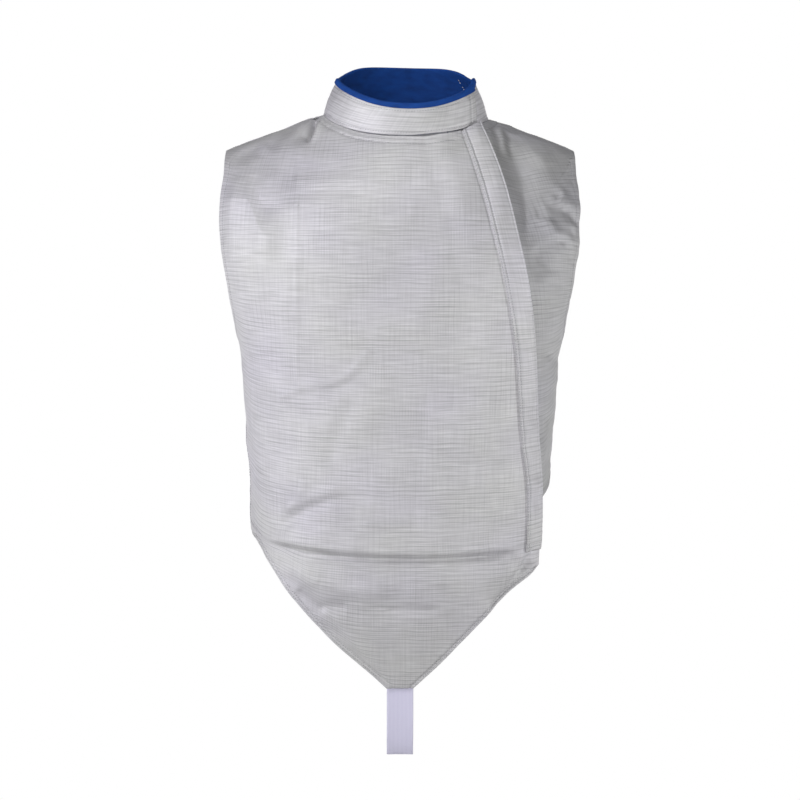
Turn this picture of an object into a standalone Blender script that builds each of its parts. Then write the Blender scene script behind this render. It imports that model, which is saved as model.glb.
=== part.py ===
# A sleeveless fencing vest of metallic cloth, standing as it is worn, with no body inside it.
# +X is the viewer's right, -Y is the front, and z = 0 is where the collar meets the shoulder line.
# Sizes are in mm and turned to metres when a mesh is made.
import functools
import math

import bpy
import numpy as np

MM = 0.001

# Cloth walls and the gaps between the pieces.
WALL = 2.0
BAND_WALL = 1.6
COLLAR_WALL = 1.8
LINING_WALL = 1.0
STRAP_WALL = 1.6
SEAM_GAP = 0.3
LAP_GAP = 1.3
STRAP_GAP = 1.0

# A level is the height of one ring of the vest at centre front.
NECK_LEVEL = -23.0
TIP_LEVEL = -100.0
UNDERARM_LEVEL = -252.0
CORNER_LEVEL = -474.0
FLAP_CORNER_LEVEL = -505.0
POINT_LEVEL = -643.0

# Rings of the yoke, from the neckline to the shoulder tips: heights at the shoulder seam and at
# centre back, half width, how far the centre lies to the right, and how late the ring rises.
YOKE = {
    "level": (NECK_LEVEL, -34, -54, -76, TIP_LEVEL),
    "side_z": (-1.5, -5.0, -15.5, -27.0, -38.5),
    "back_z": (13.0, 4.0, -15.0, -37.0, -62.0),
    "half_width": (94.5, 107.5, 136.0, 168.0, 197.0),
    "centre_x": (7.0, 1.5, 0.0, 0.0, 0.0),
    "rise": (3.0, 3.3, 4.2, 5.4, 6.6),
}

# The neckline leans down to the viewer's right.
NECK_TILT = 2.0

# The armhole is an oval seen from the side. Near its foot the rings are evened out, so that the
# chest runs smoothly into the sides.
ARMHOLE_TOP = -38.5
EVEN_OVER = 26.0
EVEN_SAMPLES = 7
ARMHOLE_BOTTOM = -250.0
ARMHOLE_FRONT_REACH = 68.0
ARMHOLE_BACK_REACH = 60.0

# Half widths at the armhole edge and, lower down, at the side seams.
SIDES = {
    "z": (-38.5, -61, -83, -128, -161, -184, -206, -254, -324, -370, -408, -471, -643),
    "half_width": (197, 197, 199, 200.4, 199, 195.2, 190, 182.5, 178.5, 175.1, 172.5, 171, 166),
}

# How far the cloth stands forward at centre front, and back at centre back.
FRONT_LINE = {
    "z": (-23, -34, -54, -76, -100, -125, -155, -190, -230, -330, -455, -505, -560, -600, -643),
    "depth": (70, 80, 95, 108, 118, 125, 130, 132.5, 132, 127, 123.5, 117, 103, 91.5, 78),
}
BACK_LINE = {
    "z": (13, 4, -15, -37, -62, -100, -150, -200, -260, -330, -380, -430),
    "depth": (64, 76, 92, 104, 112, 118, 119, 115, 107, 101, 103, 107),
}
SQUARENESS = {
    "z": (NECK_LEVEL, TIP_LEVEL, -160, UNDERARM_LEVEL, -340, POINT_LEVEL),
    "power": (2.0, 2.2, 2.5, 2.5, 2.3, 2.25),
}

# The free edge of the flap, and the hems of the point on the left and on the right.
FLAP_EDGE = {
    "z": (-13, -31, -61, -112, -182, -238, -364, -399, -425, FLAP_CORNER_LEVEL),
    "x": (88.5, 97, 108.5, 123.5, 139.5, 146.5, 153, 156, 157, 156.5),
}
LEFT_HEM = {
    "z": (CORNER_LEVEL, -476, -480, -488, -511, -534, -576, -599, -622, POINT_LEVEL),
    "x": (171, 168.5, 163, 156.5, 141, 124, 86.2, 62.6, 36.7, 15),
}
RIGHT_HEM = {
    "z": (FLAP_CORNER_LEVEL, -521, -544, -567, -590, -613, POINT_LEVEL),
    "x": (157, 136, 111, 88.5, 66.5, 45.5, 15),
}

# The band along the flap and the part of the side front that lies under it.
BAND_WIDTH = 27.5
BAND_LOW_LEVEL = -488.0
UNDERLAP = 45.0
LIFT_FULL = 50.0
LIFT_NONE = 78.0
LIFT = WALL + LAP_GAP

# Hems of the back and of the side front, at the side seam, partway in and at the inner end.
BACK_HEM_SIDE = -406.0
BACK_HEM_CENTRE = -424.0
SIDE_FRONT_HEM = {"in_from_seam": (0, 36, 130), "level": (-408, -423, -458)}

# The largest folds of the front: ends of the line, its sag, half the spread, and the depth inwards.
FOLDS = {
    "hip_crease": (-158, -478, 142, -485, -7, 8, 3.2),
    "belly_edge": (-158, -462, 142, -467, -7, 12, -1.6),
    "hem_drag": (128, -487, 98, -548, 3, 9, 2.2),
    "neck_pull": (-99, 0, -114, -34, -2, 7, 2.4),
}

# The collar: its rim, and where its outer end lies over the inner one.
RIM_CENTRE = (7.6, -4.0)
RIM_HALF_WIDTH = 77.4
RIM_HALF_DEPTH = 62.0
RIM_FRONT_Z = 14.0
RIM_SIDE_Z = 38.5
RIM_BACK_Z = 56.5
RIM_SIDE_TILT = 1.6
RIM_FRONT_RISE = 2.4
RIM_BACK_RISE = 3.6
COLLAR_END_BASE = 56.0
COLLAR_END_RIM = 68.0
COLLAR_TURN = 386.0
COLLAR_SPIRAL = 2.75
COLLAR_STEPS = 60
COLLAR_BULGE = 1.2
ROLL_HEIGHT = 6.5

# The crotch strap: where it starts behind the point, the loop that hangs, and its end at the back.
STRAP_WIDTH = 30.0
STRAP_INSET = 18.0
STRAP_LOOP = {
    "y": (-74, -70, -56, -38, -5, 40, 78),
    "z": (-664, -700, -724, -716, -658, -562, -478),
}
STRAP_BACK_LEVELS = (-432.0, -418.0, -404.0)
STRAP_STEPS = 40

# Rows and columns of the meshes.
YOKE_ROWS = (NECK_LEVEL, -28.0, -37.0, -49.0, -64.0, -81.0)
ARMHOLE_ROWS = 8
WAIST_ROWS = (-280.0, -308.0, -336.0, -364.0, -392.0, -420.0, -443.0, -458.0, -465.0)
CREASE_ROWS = (-474.0, -476.0, -480.0, -484.0, -488.0, -492.0, -496.0, -500.0, -505.0)
POINT_ROWS = (-514.0, -525.0, -538.0, -553.0, -570.0, -588.0, -606.0, -624.0, POINT_LEVEL)
FRONT_COLUMNS = 20
RIGHT_COLUMNS = (LIFT_NONE, 70.0, 62.0, LIFT_FULL, 38.0, BAND_WIDTH, BAND_WIDTH / 2, 0.0)
BACK_COLUMNS = 26
SIDE_COLUMNS = 9
ROW_SAMPLES = 240

STEP = 0.4
SHARE_STEP = 0.004


def slopes(x, y):
    """Slopes of a smooth curve through the rows that never overshoots a row."""
    rise = np.diff(y) / np.diff(x)
    total = rise[:-1] + rise[1:]
    same = rise[:-1] * rise[1:] > 0
    inner = np.where(same, 2 * rise[:-1] * rise[1:] / np.where(same, total, 1), 0)
    return np.concatenate([rise[:1], inner, rise[-1:]])


def follow(table, key, column, at):
    """The value of one column of a table, read smoothly at a place along the key column."""
    x = np.array(table[key], float)
    y = np.array(table[column], float)
    if x[0] > x[-1]:
        x, y = x[::-1], y[::-1]
    row = int(np.clip(np.searchsorted(x, at) - 1, 0, len(x) - 2))
    span = x[row + 1] - x[row]
    t = min(max((at - x[row]) / span, 0), 1)
    slope = slopes(x, y)
    return (
        y[row] * (1 + 2 * t) * (1 - t) ** 2
        + y[row + 1] * t * t * (3 - 2 * t)
        + span * t * (1 - t) * (slope[row] * (1 - t) - slope[row + 1] * t)
    )


def ease(start, end, at):
    """0 before start, 1 after end, and a smooth change between them."""
    t = min(max((at - start) / (end - start), 0), 1)
    return t * t * (3 - 2 * t)


def full_width(half_width, depth, reach, power):
    """Half width of the whole ring whose outline passes through the armhole's edge."""
    return half_width / (1 - (reach / depth) ** power) ** (1 / power)


@functools.lru_cache(maxsize=None)
def raw_ring(level):
    """The sizes of the ring at one level, before the rings are evened out."""
    if level > TIP_LEVEL:
        sizes = {name: follow(YOKE, "level", name, level) for name in YOKE if name != "level"}
        sizes["turn"] = 0.0
    else:
        share = min((TIP_LEVEL - level) / (TIP_LEVEL - UNDERARM_LEVEL), 1)
        turn = math.acos(1 - 2 * share)
        middle = (ARMHOLE_TOP + ARMHOLE_BOTTOM) / 2
        side_z = middle + (ARMHOLE_TOP - middle) * math.cos(turn)
        low = max(UNDERARM_LEVEL - level, 0)
        sizes = {
            "side_z": side_z - low,
            "back_z": YOKE["back_z"][-1] + share * (UNDERARM_LEVEL - YOKE["back_z"][-1]) - low,
            "half_width": follow(SIDES, "z", "half_width", side_z - low),
            "centre_x": 0.0,
            "rise": YOKE["rise"][-1] - share * (YOKE["rise"][-1] - YOKE["rise"][0]),
            "turn": turn,
        }
    sizes["power"] = follow(SQUARENESS, "z", "power", level)
    sizes["front_depth"] = follow(FRONT_LINE, "z", "depth", level)
    sizes["back_depth"] = follow(BACK_LINE, "z", "depth", sizes["back_z"])
    sizes["front_reach"] = ARMHOLE_FRONT_REACH * math.sin(sizes["turn"])
    sizes["back_reach"] = ARMHOLE_BACK_REACH * math.sin(sizes["turn"])
    for half in ("front", "back"):
        sizes[half + "_width"] = full_width(
            sizes["half_width"], sizes[half + "_depth"], sizes[half + "_reach"], sizes["power"]
        )
    return sizes


@functools.lru_cache(maxsize=None)
def ring(level):
    """The sizes of the ring at one level."""
    sizes = dict(raw_ring(level))
    spread = EVEN_OVER * ease(TIP_LEVEL - 20, -200, level) * ease(-330, -290, level)
    if spread > 0:
        near = [raw_ring(level + spread * offset) for offset in np.linspace(-1, 1, EVEN_SAMPLES)]
        for name in ("front_width", "back_width"):
            sizes[name] = sum(other[name] for other in near) / EVEN_SAMPLES
    return sizes


def fold_depth(x, z):
    """How far the folds push a point of the front inwards."""
    depth = 0.0
    for x0, z0, x1, z1, sag, spread, deep in FOLDS.values():
        run = np.array([x1 - x0, z1 - z0], float)
        length = np.linalg.norm(run)
        run /= length
        along = ((x - x0) * run[0] + (z - z0) * run[1]) / length
        off = (z - z0) * run[0] - (x - x0) * run[1] - sag * 4 * along * (1 - along)
        fade = ease(-0.02, 0.14, along) * ease(1.02, 0.8, along)
        depth += deep * fade * math.exp(-((off / spread) ** 2))
    return depth


def skin(level, share):
    """A point of the vest's outer face. The share is 0 at centre front, -1 and 1 at the sides
    and 2 at centre back."""
    size = ring(level)
    if abs(share) > 2:
        share -= math.copysign(4, share)
    front = abs(share) <= 1
    half = "front" if front else "back"
    lap = abs(share) if front else 2 - abs(share)
    sign = math.copysign(1, share)
    depth = size[half + "_depth"]
    power = size["power"]
    centre_z = level if front else size["back_z"]
    most = math.acos(min((size[half + "_reach"] / depth) ** (power / 2), 1))
    angle = lap * most
    x = sign * size[half + "_width"] * math.sin(angle) ** (2 / power)
    y = depth * max(math.cos(angle), 0) ** (2 / power)
    raised = (math.sin(angle) / math.sin(most)) ** size["rise"]
    z = centre_z + (size["side_z"] - centre_z) * raised
    z -= NECK_TILT * sign * math.sin(angle) * ease(-50, NECK_LEVEL, level)
    if front:
        y = fold_depth(x, z) * min(y / 40, 1) - y
    return np.array([x + size["centre_x"], y, z])


def outward(level, share):
    """The direction that points out of the vest."""
    half = 1 if abs(share) <= 1 else math.copysign(1, share)
    if abs(share) <= 1:
        before, after = max(share - SHARE_STEP, -1), min(share + SHARE_STEP, 1)
    else:
        before = share - SHARE_STEP
        after = share + SHARE_STEP
        if abs(before) < 1:
            before = half
        if abs(after) < 1:
            after = half
    across = skin(level, after) - skin(level, before)
    up = skin(min(level + STEP, NECK_LEVEL), share) - skin(max(level - STEP, POINT_LEVEL), share)
    normal = np.cross(across, up)
    return normal / np.linalg.norm(normal)


def front_row(level):
    """Shares and distances along one ring of the front, from the left edge to the right."""
    shares = np.linspace(-1, 1, ROW_SAMPLES + 1)
    points = np.array([skin(level, share) for share in shares])
    lengths = np.linalg.norm(np.diff(points, axis=0), axis=1)
    return shares, np.concatenate([[0], np.cumsum(lengths)]), points


def back_row(level):
    """Shares and distances along one ring of the back, from the right edge round to the left."""
    shares = np.linspace(1.0001, 2.9999, ROW_SAMPLES + 1)
    wrapped = np.where(shares > 2, shares - 4, shares)
    points = np.array([skin(level, share) for share in wrapped])
    lengths = np.linalg.norm(np.diff(points, axis=0), axis=1)
    return wrapped, shares, np.concatenate([[0], np.cumsum(lengths)])


def right_limit(z):
    """The x of the flap's edge and, below its corner, of the right hem."""
    return follow(FLAP_EDGE if z > FLAP_CORNER_LEVEL else RIGHT_HEM, "z", "x", z)


def flap_distance(row):
    """How far along the row the flap's edge lies."""
    shares, distances, points = row
    over = [point[0] - right_limit(point[2]) for point in points]
    last = max(i for i in range(len(over)) if over[i] < 0 and shares[i] < 1)
    part = over[last] / (over[last] - over[last + 1])
    return distances[last] + part * (distances[last + 1] - distances[last])


def left_distance(row, level):
    """How far along the row the front starts: at the side seam, or at the left hem."""
    if level >= CORNER_LEVEL:
        return SEAM_GAP / 2
    _, distances, points = row
    x = -follow(LEFT_HEM, "z", "x", level)
    return float(np.interp(x, points[: ROW_SAMPLES // 2 + 1, 0], distances[: ROW_SAMPLES // 2 + 1]))


def lift_at(from_edge, level):
    """How far the front stands off, so that it clears the side front under it."""
    return LIFT * ease(LIFT_NONE, LIFT_FULL, from_edge) * ease(-530, -470, level)


def front_levels():
    armhole = [
        TIP_LEVEL - (TIP_LEVEL - UNDERARM_LEVEL) * (1 - math.cos(math.pi * i / ARMHOLE_ROWS)) / 2
        for i in range(ARMHOLE_ROWS + 1)
    ]
    return [*YOKE_ROWS, *armhole, *WAIST_ROWS, *CREASE_ROWS, *POINT_ROWS]


def outer_and_inner(level, share, lift, wall):
    point = skin(level, share)
    normal = outward(level, share)
    return point + normal * lift, point + normal * (lift - wall)


def front_grid():
    """Rows of outer and inner points of the front, with the last columns at set distances."""
    outer, inner = [], []
    for level in front_levels():
        row = front_row(level)
        shares, distances, _ = row
        left = left_distance(row, level)
        right = flap_distance(row)
        squeeze = min(1, 0.42 * (right - left) / LIFT_NONE)
        ends = [right - d * squeeze for d in RIGHT_COLUMNS]
        places = [*np.linspace(left, ends[0], FRONT_COLUMNS + 1)[:-1], *ends]
        pairs = [
            outer_and_inner(
                level,
                float(np.interp(place, distances, shares)),
                lift_at(right - place, level),
                WALL,
            )
            for place in places
        ]
        outer.append([pair[0] for pair in pairs])
        inner.append([pair[1] for pair in pairs])
    return np.array(outer), np.array(inner)


def side_front_grid():
    """The wearer's left front: its inner end lies under the flap."""
    outer, inner = [], []
    inner_ends = (-UNDERLAP, -38.0, -BAND_WIDTH, -BAND_WIDTH / 2, 0.0)
    rows = [level for level in front_levels() if level >= WAIST_ROWS[4]]
    first_low = rows.index(UNDERARM_LEVEL)
    for level in rows:
        pairs = []
        row = front_row(level)
        edge = flap_distance(row)
        end = row[1][-1] - SEAM_GAP / 2
        places = [edge + d for d in inner_ends]
        places += list(np.linspace(edge, end, SIDE_COLUMNS + 1)[1:])
        for place in places:
            at = level
            if level < rows[first_low]:
                hem = follow(SIDE_FRONT_HEM, "in_from_seam", "level", end - place)
                part = (UNDERARM_LEVEL - level) / (UNDERARM_LEVEL - rows[-1])
                at = UNDERARM_LEVEL + (hem - UNDERARM_LEVEL) * part
            share = float(np.interp(place, row[1], row[0]))
            pairs.append(outer_and_inner(at, share, 0.0, WALL))
        outer.append([pair[0] for pair in pairs])
        inner.append([pair[1] for pair in pairs])
    return np.array(outer), np.array(inner)


def back_grid():
    outer, inner = [], []
    rows = [level for level in front_levels() if level >= WAIST_ROWS[4]]
    for level in rows:
        pairs = []
        wrapped, shares, distances = back_row(level)
        places = np.linspace(SEAM_GAP / 2, distances[-1] - SEAM_GAP / 2, BACK_COLUMNS + 1)
        for place in places:
            share = float(np.interp(place, distances, shares))
            at = level
            if level < UNDERARM_LEVEL:
                middle = math.cos((share - 2) * math.pi / 2) ** 2
                hem = BACK_HEM_SIDE + (BACK_HEM_CENTRE - BACK_HEM_SIDE) * middle
                part = (UNDERARM_LEVEL - level) / (UNDERARM_LEVEL - rows[-1])
                at = UNDERARM_LEVEL + (hem - UNDERARM_LEVEL) * part
            pairs.append(outer_and_inner(at, share - 4 if share > 2 else share, 0.0, WALL))
        outer.append([pair[0] for pair in pairs])
        inner.append([pair[1] for pair in pairs])
    return np.array(outer), np.array(inner)


def band_grid(front_outer, front_inner):
    """The band on the flap: the front's last columns, moved out along its wall."""
    rows = [i for i, level in enumerate(front_levels()) if level >= BAND_LOW_LEVEL]
    columns = slice(-3, None)
    base = front_outer[rows][:, columns]
    out = (base - front_inner[rows][:, columns]) / WALL
    return base + out * (SEAM_GAP + BAND_WALL), base + out * SEAM_GAP


def collar_frame(t, height_share):
    """Base point, rim point, outward direction and spiral offset of the collar at one place."""
    end = COLLAR_END_BASE + (COLLAR_END_RIM - COLLAR_END_BASE) * height_share

    def both(angle):
        share = (angle / 90 + 2) % 4 - 2
        base = skin(NECK_LEVEL, share)
        turn = math.radians(angle)
        s, c = math.sin(turn), math.cos(turn)
        if c >= 0:
            z = RIM_FRONT_Z + (RIM_SIDE_Z - RIM_FRONT_Z) * abs(s) ** RIM_FRONT_RISE
        else:
            z = RIM_BACK_Z + (RIM_SIDE_Z - RIM_BACK_Z) * abs(s) ** RIM_BACK_RISE
        rim = (
            RIM_CENTRE[0] + RIM_HALF_WIDTH * s,
            RIM_CENTRE[1] - RIM_HALF_DEPTH * c,
            z - RIM_SIDE_TILT * s,
        )
        return base, np.array(rim)

    angle = end - COLLAR_TURN * t
    base, rim = both(angle)
    ahead = [sum(pair) / 2 for pair in zip(*both(angle + 1))]
    behind = [sum(pair) / 2 for pair in zip(*both(angle - 1))]
    rise = rim - base
    across = np.array(ahead) - np.array(behind)
    out = np.cross(across, rise)
    return base, rim, out / np.linalg.norm(out), COLLAR_SPIRAL * (1 - 2 * t)


def collar_point(t, out, height):
    """A point of the collar. A height below 0 counts down from the rim."""
    base, rim, _, _ = collar_frame(t, 0.5)
    tall = np.linalg.norm(rim - base)
    up = height if height >= 0 else tall + height
    base, rim, outwards, spiral = collar_frame(t, up / tall)
    bulge = COLLAR_BULGE * math.sin(math.pi * min(max(up / tall, 0), 1))
    return base + (rim - base) / tall * up + outwards * (out + spiral + bulge)


def collar_base(t):
    """The collar stands higher where it rests on the lifted flap."""
    return SEAM_GAP + 0.2 + LIFT * ease(0.3, 0.12, t)


def swept(section):
    """Points of a closed section carried round the collar."""
    return [
        [collar_point(step / COLLAR_STEPS, out, height(step / COLLAR_STEPS)) for out, height in section]
        for step in range(COLLAR_STEPS + 1)
    ]


def collar_heights():
    """Heights shared by the collar and its lining, so that their faces stay parallel."""
    return [collar_base, lambda t: 12.0, lambda t: 22.0, lambda t: -ROLL_HEIGHT]


def collar_section():
    heights = [*collar_heights(), lambda t: -(LINING_WALL + SEAM_GAP)]
    outer = [(0, height) for height in heights]
    return outer + [(-COLLAR_WALL, height) for height in reversed(heights)]


def lining_section():
    """The lining covers the inside and rolls over the rim to the outside."""
    inside = -(COLLAR_WALL + SEAM_GAP)
    edge = SEAM_GAP + LINING_WALL
    shoulder = -0.9 * LINING_WALL
    heights = collar_heights()
    return [
        (edge, lambda t: -ROLL_HEIGHT),
        (edge, lambda t: shoulder),
        (edge - 0.5, lambda t: -0.3),
        (inside - LINING_WALL + 0.5, lambda t: -0.3),
        (inside - LINING_WALL, lambda t: shoulder),
        *[(inside - LINING_WALL, height) for height in reversed(heights)],
        *[(inside, height) for height in heights],
        (inside, lambda t: -LINING_WALL),
        (SEAM_GAP, lambda t: -LINING_WALL),
        (SEAM_GAP, lambda t: -ROLL_HEIGHT),
    ]


def strap_path():
    """Centre line of the strap in the plane x = 0, as (y, z) points with even steps."""
    rows = []
    clear = WALL + STRAP_GAP + STRAP_WALL / 2
    for level in (POINT_LEVEL + STRAP_INSET, POINT_LEVEL + STRAP_INSET / 2, POINT_LEVEL + 1):
        rows.append(skin(level, 0.0) - outward(level, 0.0) * clear)
    rows += [np.array([0.0, y, z]) for y, z in zip(STRAP_LOOP["y"], STRAP_LOOP["z"])]
    for level in STRAP_BACK_LEVELS:
        rows.append(skin(level, 2.0) - outward(level, 2.0) * clear)
    rows = np.array(rows)
    lengths = np.concatenate([[0], np.cumsum(np.linalg.norm(np.diff(rows, axis=0), axis=1))])
    table = {"at": lengths, "y": rows[:, 1], "z": rows[:, 2]}
    steps = np.linspace(0, lengths[-1], STRAP_STEPS + 1)
    return np.array(
        [[follow(table, "at", "y", at), follow(table, "at", "z", at)] for at in steps]
    )


def material(name, colour, roughness, metallic):
    made = bpy.data.materials.new(name)
    made.use_nodes = True
    shader = made.node_tree.nodes["Principled BSDF"]
    shader.inputs["Base Color"].default_value = (*colour, 1)
    shader.inputs["Roughness"].default_value = roughness
    shader.inputs["Metallic"].default_value = metallic
    made.diffuse_color = (*colour, 1)
    return made


def add_object(name, points, faces, look):
    mesh = bpy.data.meshes.new(name)
    mesh.from_pydata([tuple(point * MM) for point in points], [], faces)
    mesh.polygons.foreach_set("use_smooth", [True] * len(mesh.polygons))
    mesh.materials.append(look)
    made = bpy.data.objects.new(name, mesh)
    bpy.context.scene.collection.objects.link(made)
    return made


def add_sheet(name, outer, inner, look):
    """A closed wall between two grids of points. Rows run down, columns run to the viewer's right
    as they are seen from outside."""
    rows, columns = outer.shape[:2]
    points = [*outer.reshape(-1, 3), *inner.reshape(-1, 3)]
    half = rows * columns
    faces = []
    for i in range(rows - 1):
        for j in range(columns - 1):
            a = i * columns + j
            b, c, d = a + columns, a + columns + 1, a + 1
            faces += [(a, b, c), (a, c, d)]
            faces += [(a + half, c + half, b + half), (a + half, d + half, c + half)]
    rim = [j for j in range(columns)]
    rim += [i * columns + columns - 1 for i in range(1, rows)]
    rim += [(rows - 1) * columns + j for j in range(columns - 2, -1, -1)]
    rim += [i * columns for i in range(rows - 2, 0, -1)]
    for k, a in enumerate(rim):
        b = rim[(k + 1) % len(rim)]
        faces.append((a, b, b + half, a + half))
    return add_object(name, points, faces, look)


def add_sweep(name, sections, look):
    """A closed bar through sections that all hold the same number of points. Each quad is cut
    from its low corner to its high one, so that two bars side by side are cut alike."""
    count = len(sections[0])
    points = [point for section in sections for point in section]
    faces = []
    for i in range(len(sections) - 1):
        for j in range(count):
            k = (j + 1) % count
            a, b = i * count + j, i * count + k
            c, d = b + count, a + count
            if points[b][2] > points[a][2]:
                faces += [(a, b, c), (a, c, d)]
            else:
                faces += [(a, b, d), (b, c, d)]
    last = (len(sections) - 1) * count
    faces.append(tuple(range(count - 1, -1, -1)))
    faces.append(tuple(range(last, last + count)))
    return add_object(name, points, faces, look)


def add_strap(look):
    path = strap_path()
    sections = []
    for i, (y, z) in enumerate(path):
        run = path[min(i + 1, len(path) - 1)] - path[max(i - 1, 0)]
        run /= np.linalg.norm(run)
        side = np.array([run[1], -run[0]]) * STRAP_WALL / 2
        corners = (
            (-STRAP_WIDTH / 2, -side),
            (STRAP_WIDTH / 2, -side),
            (STRAP_WIDTH / 2, side),
            (-STRAP_WIDTH / 2, side),
        )
        sections.append([np.array([x, y + off[0], z + off[1]]) for x, off in corners])
    return add_sweep("crotch_strap", sections, look)


def main():
    for obj in list(bpy.data.objects):
        bpy.data.objects.remove(obj, do_unlink=True)
    silver = (0.60, 0.60, 0.62)
    front = material("lame_front", silver, 0.42, 0.55)
    band = material("lame_band", silver, 0.42, 0.55)
    side = material("lame_side_front", silver, 0.42, 0.55)
    back = material("lame_back", silver, 0.42, 0.55)
    collar = material("lame_collar", silver, 0.42, 0.55)
    lining = material("blue_lining", (0.012, 0.07, 0.22), 0.7, 0.0)
    strap = material("white_elastic", (0.72, 0.72, 0.78), 0.75, 0.0)
    front_outer, front_inner = front_grid()
    add_sheet("front", front_outer, front_inner, front)
    add_sheet("placket", *band_grid(front_outer, front_inner), band)
    add_sheet("side_front", *side_front_grid(), side)
    add_sheet("back", *back_grid(), back)
    add_sweep("collar", swept(collar_section()), collar)
    add_sweep("collar_lining", swept(lining_section()), lining)
    add_strap(strap)


main()
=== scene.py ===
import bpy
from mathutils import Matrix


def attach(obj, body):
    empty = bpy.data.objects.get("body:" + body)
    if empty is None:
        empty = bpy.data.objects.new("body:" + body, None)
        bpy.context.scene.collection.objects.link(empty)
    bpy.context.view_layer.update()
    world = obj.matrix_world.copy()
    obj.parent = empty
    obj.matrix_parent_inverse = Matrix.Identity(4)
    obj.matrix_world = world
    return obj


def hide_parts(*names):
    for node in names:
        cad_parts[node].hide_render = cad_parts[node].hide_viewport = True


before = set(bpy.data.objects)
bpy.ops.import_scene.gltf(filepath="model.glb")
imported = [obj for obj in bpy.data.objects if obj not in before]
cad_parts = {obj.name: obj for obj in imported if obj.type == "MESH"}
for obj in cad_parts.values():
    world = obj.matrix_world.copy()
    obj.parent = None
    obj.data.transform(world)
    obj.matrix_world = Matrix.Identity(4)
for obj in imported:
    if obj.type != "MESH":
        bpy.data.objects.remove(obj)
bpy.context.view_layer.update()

import math

import bpy
import numpy as np
from mathutils import Vector

mm = 0.001

# Fencing vest in its worn form, hollow. All sizes are in millimetres, and turned to metres where
# a mesh is made. A level is the height of one ring of the vest at centre front.

# Form, the same as the solids

form = {
    "neckLevel": -23.0, "tipLevel": -100.0, "underarmLevel": -252.0, "cornerLevel": -474.0,
    "flapCornerLevel": -505.0, "pointLevel": -643.0,
    "armholeTop": -38.5, "armholeBottom": -250.0, "frontReach": 68.0, "backReach": 60.0,
    "neckTilt": 2.0, "evenOver": 26.0, "evenSamples": 7,
}
yoke = {
    "level": (-23, -34, -54, -76, -100),
    "sideZ": (-1.5, -5.0, -15.5, -27.0, -38.5),
    "backZ": (13.0, 4.0, -15.0, -37.0, -62.0),
    "halfWidth": (94.5, 107.5, 136.0, 168.0, 197.0),
    "centreX": (7.0, 1.5, 0.0, 0.0, 0.0),
    "rise": (3.0, 3.3, 4.2, 5.4, 6.6),
}
sides = {
    "z": (-38.5, -61, -83, -128, -161, -184, -206, -254, -324, -370, -408, -471, -643),
    "halfWidth": (197, 197, 199, 200.4, 199, 195.2, 190, 182.5, 178.5, 175.1, 172.5, 171, 166),
}
frontLine = {
    "z": (-23, -34, -54, -76, -100, -125, -155, -190, -230, -330, -455, -505, -560, -600, -643),
    "depth": (70, 80, 95, 108, 118, 125, 130, 132.5, 132, 127, 123.5, 117, 103, 91.5, 78),
}
backLine = {
    "z": (13, 4, -15, -37, -62, -100, -150, -200, -260, -330, -380, -430),
    "depth": (64, 76, 92, 104, 112, 118, 119, 115, 107, 101, 103, 107),
}
squareness = {
    "z": (-23, -100, -160, -252, -340, -643),
    "power": (2.0, 2.2, 2.5, 2.5, 2.3, 2.25),
}
flapEdge = {
    "z": (-13, -31, -61, -112, -182, -238, -364, -399, -425, -505),
    "x": (88.5, 97, 108.5, 123.5, 139.5, 146.5, 153, 156, 157, 156.5),
}
leftHem = {
    "z": (-474, -476, -480, -488, -511, -534, -576, -599, -622, -643),
    "x": (171, 168.5, 163, 156.5, 141, 124, 86.2, 62.6, 36.7, 15),
}
rightHem = {
    "z": (-505, -521, -544, -567, -590, -613, -643),
    "x": (157, 136, 111, 88.5, 66.5, 45.5, 15),
}
# the folds that the solids have too: x0, z0, x1, z1, sag, half the width, depth inwards
mainFolds = {
    "hipCrease": (-158, -478, 142, -485, -7, 8, 3.2),
    "bellyEdge": (-158, -462, 142, -467, -7, 12, -1.6),
    "hemDrag": (128, -487, 98, -548, 3, 9, 2.2),
    "neckPull": (-99, 0, -114, -34, -2, 7, 2.4),
}


def slopesOf(x, y):
    rise = np.diff(y) / np.diff(x)
    total = rise[:-1] + rise[1:]
    same = rise[:-1] * rise[1:] > 0
    inner = np.where(same, 2 * rise[:-1] * rise[1:] / np.where(same, total, 1), 0)
    return np.concatenate([rise[:1], inner, rise[-1:]])


def follow(keys, values, at):
    # smooth reading of a short table, for one place or many
    x, y = np.array(keys, float), np.array(values, float)
    if x[0] > x[-1]:
        x, y = x[::-1], y[::-1]
    at = np.asarray(at, float)
    row = np.clip(np.searchsorted(x, at) - 1, 0, len(x) - 2)
    span = x[row + 1] - x[row]
    t = np.clip((at - x[row]) / span, 0, 1)
    slope = slopesOf(x, y)
    return (
        y[row] * (1 + 2 * t) * (1 - t) ** 2
        + y[row + 1] * t * t * (3 - 2 * t)
        + span * t * (1 - t) * (slope[row] * (1 - t) - slope[row + 1] * t)
    )


def ease(start, end, at):
    t = np.clip((np.asarray(at, float) - start) / (end - start), 0, 1)
    return t * t * (3 - 2 * t)


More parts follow.
